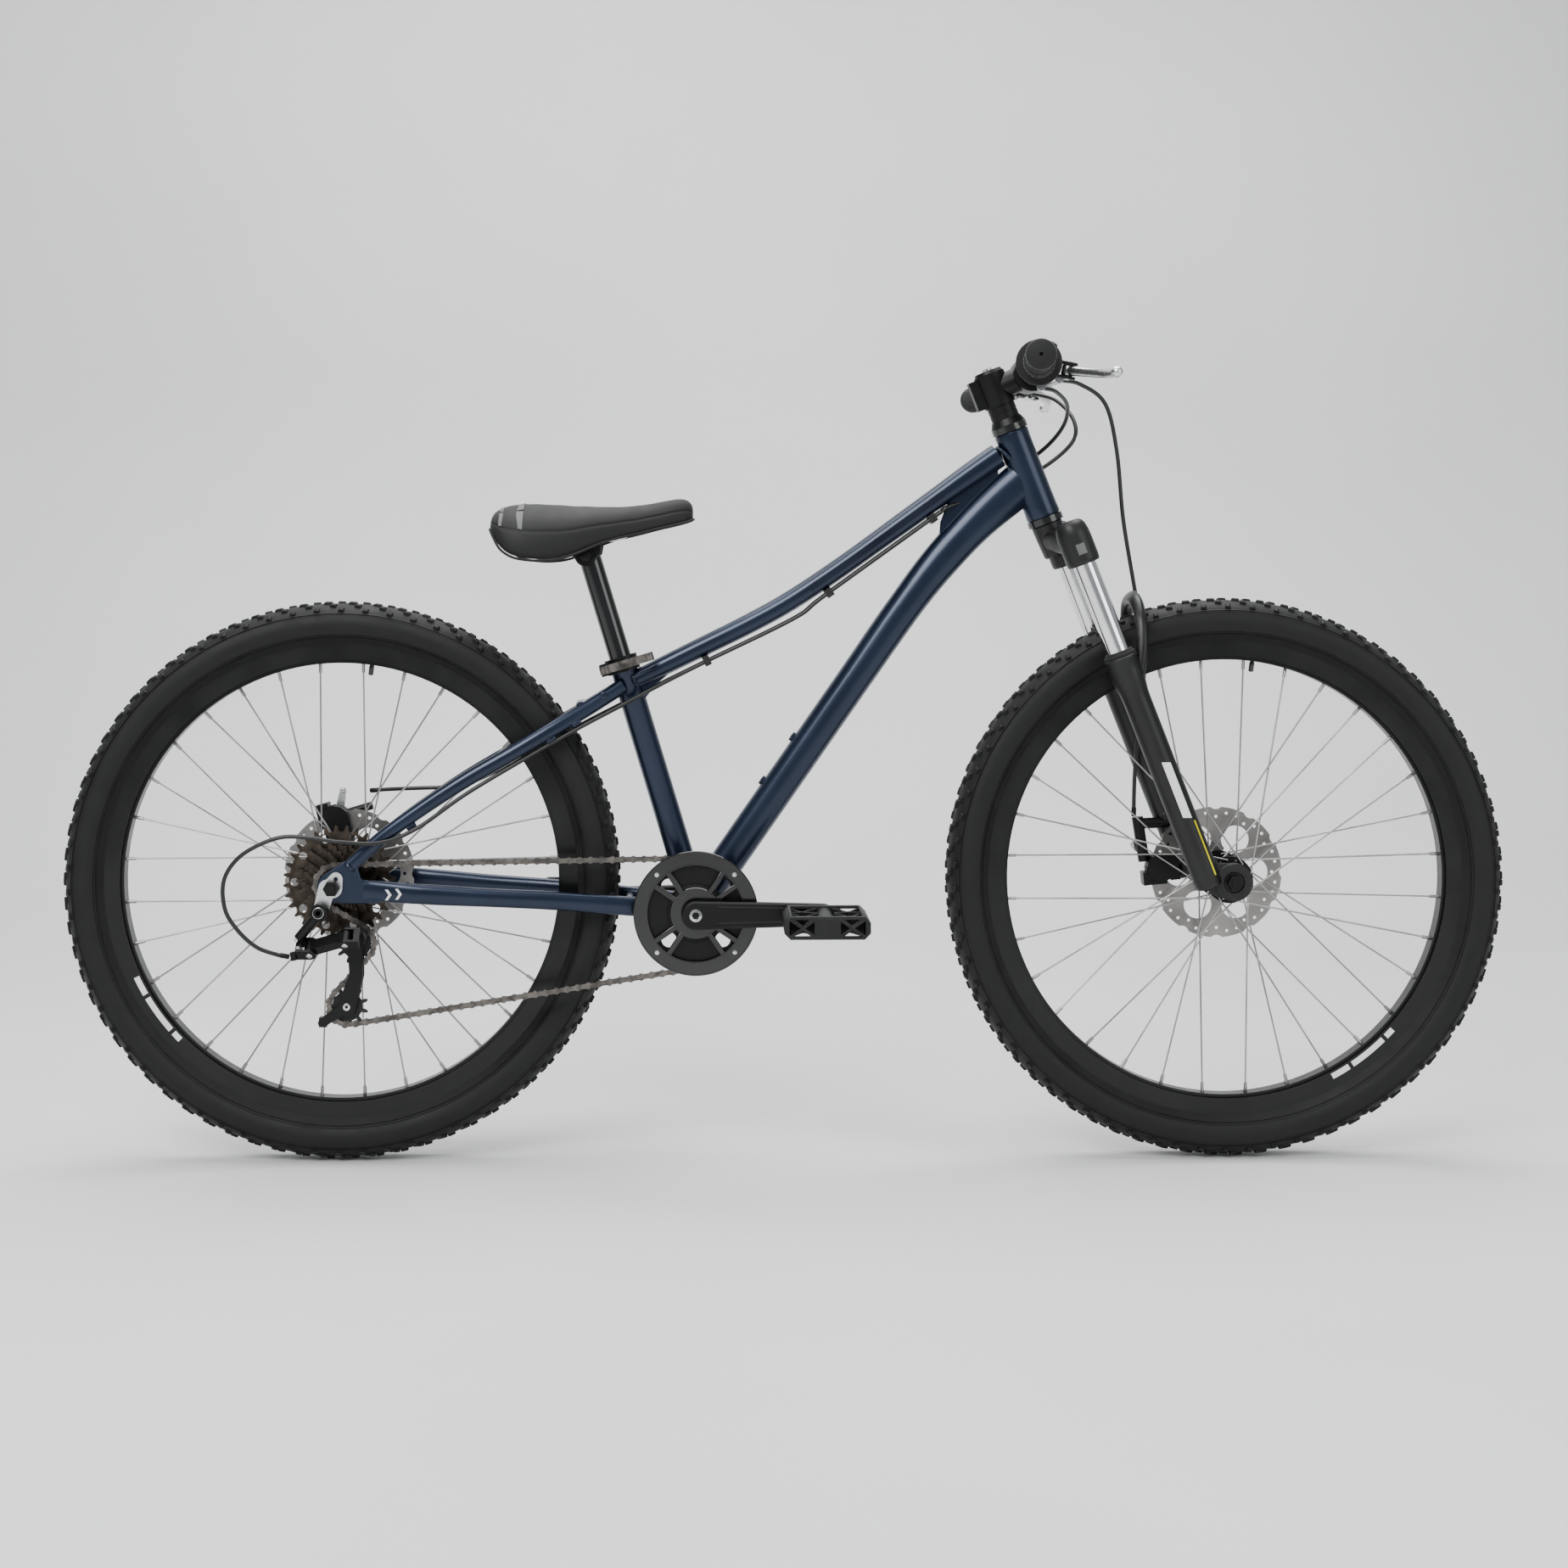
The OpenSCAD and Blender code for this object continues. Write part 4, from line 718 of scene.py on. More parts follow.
def frame_body():
    settle(front_triangle(), "frame", "front_triangle", slot="frame_paint")
    settle(rear_triangle(), "frame", "rear_triangle", slot="frame_paint")
    settle(frame_marks(), "frame", slot="frame_paint")
    bands = [band("band", TOP_ROUTE, 30, 196, side * 16.6, 3.6, DARK_PRINT) for side in (-1, 1)]
    settle(join("top_tube_band", bands), "frame", slot="frame_paint")
    paint(GLOSS_BLACK, "headset_cups")
    paint(SILVER, "bottom_bracket_cups", "derailleur_hanger")
    paint(BLACK_PLASTIC, "cable_guides")
    paint(BLACK_ALLOY, "rear_axle", "front_axle", "seat_collar")
    paint(CHAIN_STEEL, "seat_collar_lever")


# ---------------------------------------------------------------- fork
LEG_X, LEG_Y = 16, 56
UP = (steer(0, 0, 1) - HEAD).normalized()


def steered(points):
    """XZ points of the steering frame as an outline in the row frame."""
    return [(steer(x, 0, z).x, steer(x, 0, z).z) for x, z in points]


def leg_ring(name, profile, material=CASTING, segments=56, closed=True):
    """The same turned shape on both fork legs."""
    return [revolve(name, profile, steer(LEG_X, s * LEG_Y, 0), UP, material, segments, closed)
            for s in (-1, 1)]


def fork_crown():
    parts = []
    cup = [(14.2, -178), (18.6, -178), (19.8, -176.4), (20.2, -172), (20.3, -150), (19.9, -140), (18.4, -132),
           (16, -127.5), (13, -125.2), (7, -124.4), (1, -124.2), (1, -127.6), (14.2, -127.6)]
    parts += leg_ring("crown_cup", cup)
    # Waisted bridge between the legs, lower behind the middle than over the legs
    route = [steer(LEG_X, -60, -152), steer(14, -42, -149), steer(6, -20, -143), steer(1, 0, -140),
             steer(6, 20, -143), steer(14, 42, -149), steer(LEG_X, 60, -152)]
    fore = steer(1, 0, 0) - HEAD
    parts.append(tube("crown_bridge", route, [(17.5, 16), (16, 15.5), (14.5, 16), (14, 16.5), (14.5, 16),
                                              (16, 15.5), (17.5, 16)], CASTING, 8, 32, 0.75, fore))
    # Boss under the steerer, and the seat of the lower bearing
    boss = [(1, -160), (15, -160), (17, -158), (17.6, -150), (18.8, -126), (18.8, -120.2), (18, -119.4),
            (1, -119.4)]
    parts.append(revolve("crown_boss", boss, HEAD, UP, CASTING, 56))
    return join("fork_crown_skin", parts)


def leg_profile():
    """Outside of a lower leg from the foot to the seal, then its bore."""
    outer = [(14.2, -588), (15.6, -586.5), (16.2, -583), (16.5, -560), (16.5, -352), (16.9, -342),
             (18.6, -330), (19.7, -321), (20, -316), (20, -301), (20.6, -300), (20.6, -297.4), (19.6, -296)]
    return outer + [(14.3, -296), (14.3, -470), (3, -474), (3, -588)]


def fork_lowers():
    parts = leg_ring("leg", leg_profile(), CASTING, 72)
    route = [(22, 57, -334), (36, 57, -312), (48, 54, -288), (57, 45, -263), (62, 26, -245), (63.5, 0, -240)]
    route += [(x, -y, z) for x, y, z in route[-2::-1]]
    size = [(10, 6), (8.5, 6.5), (7.5, 6.8), (7, 7), (6.5, 8), (6.5, 9)]
    size += size[-2::-1]
    parts.append(tube("arch", [steer(*p) for p in route], size, CASTING, 7, 28, 0.8,
                      steer(0.9, 0, 0.45) - HEAD))
    # Webs that tie the arch to the legs
    web = steered([(20, -312), (20, -350), (34, -326), (47, -298), (53, -276), (46, -276), (36, -300)])
    parts += both(slab("web", web, 52.5, 58.5, CASTING, 1.6))
    # Drop-outs, each with a thick rim round the axle and a thin web behind it
    foot = [(2, -530), (4, -560), (10, -588), (22, -606)] + arc(44.6, -593.5, 22.6, 205, 420, 22)
    foot += [(36, -566), (30, -546), (27, -530)]
    parts += both(slab("dropout", steered(foot), 51.5, 58.5, CASTING, 1.8, [circle(FRONT.x, FRONT.z, 5.2)]))
    parts += both(revolve("dropout_rim", [(12.4, 50.2), (21.5, 50.2), (22.6, 51.4), (22.6, 58.8), (21.5, 60),
                                          (12.4, 60), (11.6, 59), (11.6, 51.2)], FRONT, Y, CASTING, 64))
    # Damper bolt under each leg
    parts += leg_ring("foot_bolt", rounded(6.5, -590, -586, 1.2), BLACK_ALLOY, 24, closed=False)
    # Bosses for the disc caliper
    for z in (405, 353):
        at = (477 + (405 - z) * 0.28, 47, z)
        parts.append(disc("disc_boss", at, (-1, 0, 0), 8.5, -14, 9, CASTING, 1.5, 28))
    return join("fork_lowers_skin", parts)


def wrap(name, side, z0, z1, a0, a1, material, radius=16.78, slope=0.0):
    """A printed patch on a lower leg: angles in degrees, 0 to the front, slope shears the ends."""
    verts, faces = [], []
    rows, columns = max(2, int(abs(z1 - z0) / 8)), max(2, int(abs(a1 - a0) / 9))
    for i in range(rows + 1):
        for j in range(columns + 1):
            a = math.radians(a0 + (a1 - a0) * j / columns)
            z = z0 + (z1 - z0) * i / rows + slope * (j / columns - 0.5)
            for r in (radius, radius - 0.35):
                verts.append(steer(LEG_X + r * math.cos(a), side * (LEG_Y + r * math.sin(a)), z))
    w = 2 * (columns + 1)
    for i in range(rows):
        for j in range(columns):
            q = i * w + 2 * j
            faces += [(q, q + 2, q + w + 2, q + w), (q + 1, q + w + 1, q + w + 3, q + 3)]
    for i in range(rows):
        for q in (i * w, i * w + 2 * columns):
            faces.append((q, q + w, q + w + 1, q + 1))
    for j in range(columns):
        for q in (2 * j, rows * w + 2 * j):
            faces.append((q, q + 1, q + 3, q + 2))
    return make(name, verts, faces, material)


def fork_marks():
    """Generic blocks and one stripe, in the places of the real fork's print."""
    parts = []
    for side in (-1, 1):
        parts.append(wrap("block", side, -500, -430, 62, 98, WHITE_PRINT, slope=4))
        parts.append(wrap("stripe", side, -575, -506, 50, 58, YELLOW_PRINT))
    return join("fork_marks", parts)


def crown_badge():
    """Plain light patches on the outer side of each crown leg."""
    return join("crown_badge", [wrap("badge", side, -166, -153, 74, 104, GREY_PRINT, radius=20.55)
                                for side in (-1, 1)])


def fork_body():
    settle(fork_crown(), "steering", "fork_crown", slot="black_casting")
    settle(crown_badge(), "steering", slot="black_casting")
    settle(fork_lowers(), "fork_slider", "fork_lowers", slot="black_casting")
    settle(fork_marks(), "fork_slider", slot="black_casting")
    wiper = [(13.95, -296), (18.6, -296), (19, -295.2), (19, -292.6), (17.4, -292), (16.6, -289.6),
             (15, -288.9), (14.05, -289.2)]
    settle(join("wiper_skin", leg_ring("wiper", wiper, RUBBER, 56)), "fork_slider", "fork_wipers",
           slot="grip_rubber")
    paint(CHROME, "stanchions")


# ---------------------------------------------------------------- cockpit
def bar_frame(side, s):
    """Centre and outward axis of the bar at s from its bend."""
    return on_bar(side, 0, s), (on_bar(side, 0, s + 1) - on_bar(side, 0, s)).normalized()


def bar_turned(name, side, profile, material, segments=48, closed=True):
    centre, out = bar_frame(side, 0)
    return revolve(name, profile, centre, out, material, segments, closed)


GRIP_END = 254.2


def grip(side, start, flange):
    """Moulded grip: a flange, fine ribs all the way along and a closed end."""
    outer = [(flange - 1.2, start), (flange, start + 1.2), (flange, start + 3), (flange - 1.4, start + 4),
             (15.2, start + 5.5)]
    s = start + 8
    while s < GRIP_END - 12:
        outer += [(14.7, s), (15.5, s + 0.5), (15.5, s + 1.5), (14.7, s + 2)]
        s += 3.1
    outer += [(15, GRIP_END - 9), (16.8, GRIP_END - 6), (17, GRIP_END - 1), (16.2, GRIP_END + 2.6),
              (13.5, GRIP_END + 4), (2, GRIP_END + 4)]
    inner = [(2, GRIP_END + 0.5), (11.15, GRIP_END + 0.5), (11.15, start)]
    return bar_turned("grip", side, outer + inner, RUBBER, 56)


def grips():
    parts = [grip(1, 124, 22), grip(-1, 164, 17)]
    # Raised pads on the palm side of each grip, in rows along it
    for side, start in ((1, 140), (-1, 176)):
        for turn in range(-3, 4):
            a = math.radians(90 + 22 * turn)
            for k in range(int((GRIP_END - 14 - start) / 9)):
                s = start + 9 * k + 4.5 * (turn % 2)
                across, up = 15.4 * math.cos(a), 15.4 * math.sin(a)
                at = on_bar(side, -across, s, up)
                out = at - on_bar(side, 0, s, 0)
                parts.append(disc("pad", at, out, 2.3, -0.8, 0.5, RUBBER, 0.4, 10))
    return join("grips_skin", parts)


def twist_shifter():
    """Rubber sleeve of the shifter, with a flange and ribs along it."""
    profile = [(25, 124.4), (26, 125.4), (26, 131), (25, 132.2), (19.5, 133), (18, 135), (18, 161),
               (17, 163.4), (11.25, 163.4), (11.25, 124.4)]
    ribbed = [bar_turned("twist", -1, profile, RUBBER, 56)]
    centre, out = bar_frame(-1, 0)
    fore = on_bar(-1, 1, 0) - centre
    lift = on_bar(-1, 0, 0, 1) - centre
    for k in range(24):
        a = 2 * math.pi * k / 24
        d = fore * math.cos(a) + lift * math.sin(a)
        rib = [centre + d * 17.4 + out * s for s in (137, 141, 150, 157, 160.5)]
        ribbed.append(round_tube("rib", rib, 1.3, RUBBER, 2, 8))
    return join("twist_shifter_skin", ribbed)


def lever_mounts():
    parts = []
    for side in (-1, 1):
        band = [(11.15, 70), (15, 70), (16, 71), (16, 83), (15, 84), (11.15, 84)]
        parts.append(bar_turned("band", side, band, BLACK_ALLOY, 48))
        # Lever body: two cheeks with the lever between them
        out = [(-14, 70), (-14, 90), (-38, 90), (-44, 86), (-44, 74), (-38, 70)]
        for u0, u1 in ((-9.8, -6.5), (6.5, 9.8)):
            parts.append(bar_plate("cheek", side, out, u0, u1, BLACK_ALLOY, 1.2))
        parts.append(bar_plate("root", side, [(-11.5, 70.2), (-11.5, 89.8), (-21.5, 89.8), (-21.5, 70.2)],
                               -9.7, 9.7, BLACK_ALLOY, 1.4))
        at = on_bar(side, 34, 80)
        lift = on_bar(side, 0, 0, 1) - on_bar(side, 0, 0)
        parts.append(disc("pivot", at, lift, 3.4, -11, 11, SILVER, 0.8, 24))
        slant = on_bar(side, 1, 77, -1) - on_bar(side, 0, 77, 0)
        parts.append(disc("clamp_bolt", on_bar(side, 15, 77, -13), slant, 3, -4, 2, SILVER, 0.6, 16))
    # Housing of the twist shifter: a round drum, the indicator window and the cable's exit
    drum = [(11.15, 92), (18.5, 92), (20, 93.5), (20, 122.4), (19, 123.9), (11.15, 123.9)]
    parts.append(bar_turned("drum", -1, drum, BLACK_PLASTIC, 56))
    parts.append(bar_plate("window_base", -1, [(4, 88), (2, 116), (-14, 116), (-17, 108), (-16, 86)], 11, 26,
                           BLACK_PLASTIC, 3))
    parts.append(bar_plate("window", -1, [(1, 93), (0, 112), (-11, 112), (-13, 106), (-12, 92)], 25.6, 27.2,
                           GREY_PRINT, 0.6))
    return join("lever_mounts_skin", parts)


def bar_plate(name, side, outline, u0, u1, material, bevel=1.0):
    """A plate beside the bar: outline in (y, s) of the bar frame, from u0 to u1 above the bar."""
    # slab lies in XZ with its thickness along Y: x is y of the bar frame, z is s, y is up
    origin = on_bar(side, 0, 0)
    fore = on_bar(side, 1, 0) - origin
    out = on_bar(side, 0, 1) - origin
    lift = on_bar(side, 0, 0, 1) - origin
    turn = Matrix([(-fore[i], lift[i], out[i], origin[i] * MM) for i in range(3)] + [(0, 0, 0, 1)])
    return reshape(baked(slab(name, outline, u0, u1, material, bevel)), turn)


LEVER_CURVE = [(-34, 80), (-41, 88), (-50, 98), (-60, 112), (-70, 130), (-77, 152), (-81, 175), (-84, 192)]


def brake_lever(side):
    """Forged blade: a hub, a blade that widens to a flat pad, and a ball end."""
    parts = [bar_plate("hub", side, circle(-34, 80, 7, 28), -6, 6, SILVER, 1.2)]
    points = [on_bar(side, -y, s) for y, s in LEVER_CURVE]
    lift = on_bar(side, 0, 0, 1) - on_bar(side, 0, 0)
    size = [(5.2, 5.6), (4.8, 5.5), (4.2, 5.3), (3.8, 5.5), (3.6, 5.8), (3.6, 5.9), (3.8, 5.8)]
    parts.append(tube("blade", points, size, SILVER, 8, 28, 0.75, lift))
    ball = [(6.4 * math.sin(math.radians(t)), -6.4 * math.cos(math.radians(t))) for t in range(6, 180, 12)]
    parts.append(revolve("ball", ball, on_bar(side, 84.5, 197), lift, SILVER, 32, closed=False))
    return join(("left" if side > 0 else "right") + "_lever_skin", parts)


def cockpit_body():
    """Everything on the bar, each piece on its body."""
    settle(grips(), "steering", "grips", slot="grip_rubber")
    settle(twist_shifter(), "shifter", "twist_shifter", slot="grip_rubber")
    settle(lever_mounts(), "steering", "lever_mounts", slot="black_alloy")
    settle(brake_lever(1), "left_lever", "left_brake_lever", slot="silver_alloy")
    settle(brake_lever(-1), "right_lever", "right_brake_lever", slot="silver_alloy")
    paint(BLACK_ALLOY, "handlebar", "headset_spacers", "stem")
    paint(SILVER, "cockpit_bolts")


# ---------------------------------------------------------------- saddle
STATIONS = [
    # x, half width, top z, skirt z
    (-348, 47, 776, 757), (-343, 57, 782, 747), (-334, 67, 787, 733), (-320, 73, 790, 724),
    (-304, 74.5, 791, 720.5), (-284, 72, 790.5, 719.5), (-262, 66.5, 789, 722), (-240, 56, 787.5, 730),
    (-220, 44.5, 786.5, 739), (-198, 35, 785.5, 746), (-174, 28.5, 787, 751.5), (-148, 24, 791, 758),
    (-130, 21.5, 795, 762), (-118, 18.5, 795.5, 765), (-111, 14.5, 792.5, 767), (-106.5, 8.5, 786, 769)]


def saddle_station(x):
    """Section of the cover at x, between the two nearest stations: x, half width, top z, skirt z."""
    i = min(range(len(STATIONS) - 1), key=lambda k: abs((STATIONS[k][0] + STATIONS[k + 1][0]) / 2 - x))
    a, b = STATIONS[i], STATIONS[i + 1]
    w = (x - a[0]) / (b[0] - a[0])
    return [a[k] * (1 - w) + b[k] * w for k in range(4)]


def saddle_point(half, top, skirt, t, channel):
    """Width and height of the cover at angle t across it; channel is the depth along its middle."""
    y = half * math.cos(t) * (1 - 0.04 * math.sin(2 * t) ** 2)
    return y, skirt + (top - skirt) * math.sin(t) ** 0.62 - channel * math.exp(-(y / 9.5) ** 2)


def saddle_ring(x, half, top, skirt, pad, drop=0.0, columns=28):
    """Points across the saddle, right skirt to left skirt, pad in from the surface."""
    ring = []
    # Two soft lobes and a shallow channel along the middle, at the wide end
    lobes = max(0.0, min(1.0, (-x - 215) / 70))
    for k in range(columns + 1):
        y, z = saddle_point(half - pad, top - pad, skirt + drop, math.pi * k / columns, lobes * 3.4)
        ring.append(Vector((x, -y, z)))
    return ring


def saddle_cover():
    """Padded vinyl cover, closed underneath, with a sewn groove round its sides."""
    rows = [saddle_ring(*s, 0) + saddle_ring(*s, 9, 5)[::-1] for s in STATIONS]
    verts, faces = skin(rows)
    # Rows of quads in place of the two end caps
    n = len(rows[0])
    faces = faces[:-2] + [(e + k, e + k + 1, e + n - 2 - k, e + n - 1 - k)
                          for e in (0, len(verts) - n) for k in range(n // 2 - 1)]
    pad = make("saddle_cover_skin", verts, faces, VINYL)
    fine = pad.modifiers.new("fine", "SUBSURF")
    fine.levels = fine.render_levels = 2
    baked(pad)
    # Sewn lines: a shallow groove that follows the cover between the side and the top panels
    for v in pad.data.vertices:
        x, y, z = (c / MM for c in v.co)
        top, skirt = saddle_station(x)[2:]
        groove = math.exp(-((z - (skirt + top) / 2) / 1.3) ** 2)
        if abs(y) > 8:
            v.co.y -= math.copysign(1.1 * groove * MM, y)
        # Creases that a used cover has across the nose
        v.co.z += 0.25 * MM * math.sin(x * 0.21 + 0.7) * math.sin(abs(y) * 0.16)
    return pad


def saddle_stripe():
    """Light panel sewn round the rear of the cover, in four blocks."""
    parts = []
    for a0, a1 in ((20, 48), (52, 84), (96, 128), (132, 160)):
        rows = []
        for i in range(11):
            t = math.radians(a0 + (a1 - a0) * i / 10)
            outer, inner = [], []
            for x, lift in ((-337, 0.5), (-308, 0.8)):
                y, z = saddle_point(*saddle_station(x)[1:], t, 3.2)
                outer.append(Vector((x, -y * 1.004, z + lift)))
                inner.append(Vector((x, -y * 0.97, z + lift - 1.6)))
            rows.append(outer + inner[::-1])
        parts.append(make("stripe", *skin(rows), GREY_PRINT))
    return join("saddle_stripe", parts)


def saddle_piping():
    """Cord of piping sewn along the lower edge of the cover."""
    points = []
    for side in (-1, 1):
        run = [Vector((s[0], side * (s[1] + 0.2), s[3] + 1.2)) for s in STATIONS]
        points += run if side < 0 else run[::-1]
    path = catmull(points + [points[0]], 4)
    return tube("saddle_piping", path, [(1.5, 1.5)] * 2, VINYL, 1, 10, side_axis=(0.01, 0.02, 1))


def saddle_clamp():
    """Clamp of the rails: a barrel, two cheeks and a bridge."""
    parts = []
    centre = Vector((-236, 0, 727))
    body = [(6, -27), (11, -27), (12.8, -25), (13, -21), (13, 21), (12.8, 25), (11, 27), (6, 27)]
    parts.append(revolve("barrel", body, centre, Y, BLACK_ALLOY, 48))
    for side in (-1, 1):
        parts.append(disc("nut", centre, (0, side, 0), 8, 24, 29.5, BLACK_ALLOY, 1, 6))
        cheek = [(-18, 2), (-20, 12), (-16, 18), (16, 18), (20, 12), (18, 2), (8, -9), (-8, -9)]
        outline = [(centre.x + x, centre.z + z) for x, z in cheek]
        parts.append(slab("cheek", outline, side * 22.5 - 3.5, side * 22.5 + 3.5, BLACK_ALLOY, 1.6))
    parts.append(slab("saddle_bridge", [(centre.x - 16, 735), (centre.x + 16, 735), (centre.x + 16, 743.5),
                                        (centre.x - 16, 743.5)], -20, 20, BLACK_ALLOY, 1.5))
    return join("saddle_clamp_skin", parts)


def saddle_body():
    cover = saddle_cover()
    settle(cover, "seatpost", "saddle_cover", slot="vinyl")
    settle(saddle_stripe(), "seatpost", slot="vinyl")
    settle(saddle_piping(), "seatpost", slot="vinyl")
    settle(saddle_clamp(), "seatpost", "saddle_clamp", slot="black_alloy")
    paint(BLACK_PLASTIC, "saddle_base")
    paint(CHROME, "saddle_rails")
    paint(GLOSS_BLACK, "seatpost")


# ---------------------------------------------------------------- cables
GUIDE_X = (177, 52, -94)
CABLE_R = 2.5


def top_z(x):
    """Height of the top tube's axis at x."""
    front = (850.7 - 670.6) / (266 - 13.5)
    rear = (670.6 - 572.5) / (13.5 + 186)
    return 670.6 + (x - 13.5) * (front if x > 13.5 else rear)


def under_top(x, y):
    """A point of a cable that hangs under the top tube."""
    return (x, y, top_z(x) - 20)


SPLIT_X = GUIDE_X[0] + 16
SHIFT_ROUTE = [
    under_top(SPLIT_X, -9), under_top(GUIDE_X[0], -9), under_top(GUIDE_X[1], -9), (14, -9, 650),
    under_top(GUIDE_X[2], -9), (-150, -19, 570), (-190, -27, 549), (-246, -38, 520), (-300, -49, 490),
    (-375, -62, 446), (-433, -68, 406), (-476, -78, 390), (-522, -86, 392), (-560, -88, 398),
    (-595, -88, 397), (-635, -88, 378), (-656, -88, 350), (-656, -88, 316), (-642, -88, 291),
    (-620, -86, 270), (-596, -82, 260), (-582, -80, 257)]
REAR_BRAKE_ROUTE = [
    under_top(SPLIT_X, 9), under_top(GUIDE_X[0], 9), under_top(GUIDE_X[1], 9), (14, 9, 650),
    under_top(GUIDE_X[2], 9), (-150, 19, 570), (-190, 27, 549), (-246, 38, 520), (-300, 48, 489),
    (-345, 44, 466), (-380, 45, 450), (-410, 47, 444), (-450, 52, 442), (-484, 60, 440), (-508, 66.6, 438)]
STEERING_SHIFT_ROUTE = [
    (295.9, -125.3, 918.2), (299, -112, 918), (318, -90, 916), (338, -50, 903), (340, -12, 882),
    (324, 20, 858), (290, 32, 832), (255, 24, 812), (222, 2, 792),
    under_top(SPLIT_X + 8, -9), under_top(SPLIT_X + 0.6, -9)]
STEERING_BRAKE_ROUTE = [
    (318.9, 112.3, 927.7), (322, 98, 928), (345, 75, 918), (362, 50, 892), (358, 36, 864),
    (322, 38, 833), (280, 37, 816), (245, 28, 801), (217, 15, 789),
    under_top(SPLIT_X + 8, 9), under_top(SPLIT_X + 0.6, 9)]
FRONT_BRAKE_ROUTE = [
    (318.9, -112.3, 927.7), (322, -98, 928), (350, -70, 926), (385, -40, 905), (405, -5, 850),
    (418, 26, 770), (433, 38, 690), (441, 34, 640), (444, 33, 580), (438, 32, 520), (433, 36, 460),
    (433, 45, 405)]


def cable(name, route, radius=CABLE_R, ends=()):
    """Outer cable along its route, with a metal ferrule at each named end."""
    parts = [tube(name, route, [(radius, radius)] * 2, HOUSING, 7, 14, side_axis=(0.3, 0.2, 1))]
    for index in ends:
        at = Vector(route[index])
        toward = Vector(route[1 if index == 0 else -2]) - at
        parts.append(disc("ferrule", at, toward, radius + 0.45, -0.2, 11, BLACK_ALLOY, 0.5, 18))
    return join(name, parts)


def cables():
    shift = cable("shift_cable_frame", SHIFT_ROUTE, ends=(-1,))
    brake = cable("brake_cable_frame", REAR_BRAKE_ROUTE, ends=(-1,))
    settle(join("frame_cables_skin", [shift, brake]), "frame", "frame_cables", slot="cable")
    for name, route in (("shift_cable_steering", STEERING_SHIFT_ROUTE),
                        ("brake_cable_steering", STEERING_BRAKE_ROUTE)):
        piece = cable(name, route, ends=(0,))
        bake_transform(piece)
        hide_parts("steering_cables")
    front = cable("front_brake_cable_skin", FRONT_BRAKE_ROUTE, ends=(0, -1))
    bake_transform(front)
    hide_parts("front_brake_cable")


# ---------------------------------------------------------------- drivetrain
CHAIN_Y = -52


def crank_arm(name, direction, inner, face):
    """Forged arm: bevelled blade with two raised rails on its outer face and a boss at the axle."""
    outer = 1 if face > 0 else -1
    end = BB.x + direction * CRANK
    outline = capsule((BB.x, BB.z), (end, BB.z), 16.8, 12.8, 16)
    parts = [slab(name, outline, min(inner, face), max(inner, face), BLACK_ALLOY, 2.2,
                  [circle(end, BB.z, 7.1, 28)])]
    for z in (-1, 1):
        rail = [(BB.x + direction * along, face - outer * 0.9, BB.z + z * across)
                for along, across in ((26, 9.6), (128, 7.4))]
        parts.append(round_tube("rail", rail, 1.7, BLACK_ALLOY, 6, 12))
    ring = [(9, -2.97), (16.2, -2.97), (16.2, 0.396), (15, 1.089), (10.5, 1.089), (9, 0.198)]
    parts.append(revolve("boss", ring, (BB.x, face - outer * 1.2, BB.z), (0, outer, 0), BLACK_ALLOY, 56))
    parts.append(disc("crank_bolt", (BB.x, face, BB.z), (0, outer, 0), 8.6, -4, 0, SILVER, 1.2, 40))
    # Black hexagon on the bolt's face: painted shade where its socket is
    parts.append(disc("bolt_socket_shade", (BB.x, face, BB.z), (0, outer, 0), 4.6, -1, 0.35, BLACK_ALLOY, 0.3, 6))
    return parts


def cranks():
    right = crank_arm("right_arm", 1, -64.2, -76)
    right.append(revolve("spider", [(8.6, -55.9), (33, -55.9), (34, -55), (33.6, -53.3), (8.6, -53.1)], BB,
                         Y, BLACK_ALLOY, 64))
    right.append(revolve("boss_in", [(8.6, -65), (14, -65), (14, -52), (8.6, -52)], BB, Y, BLACK_ALLOY, 48))
    right.append(revolve("axle", rounded(8.5, -66, 66, 0.6), BB, Y, SILVER, 40, closed=False))
    settle(join("right_crank_skin", right), "crank", "right_crank", slot="black_alloy")
    left = crank_arm("left_arm", -1, 64.2, 76)
    settle(join("left_crank_skin", left), "crank", "left_crank", slot="black_alloy")


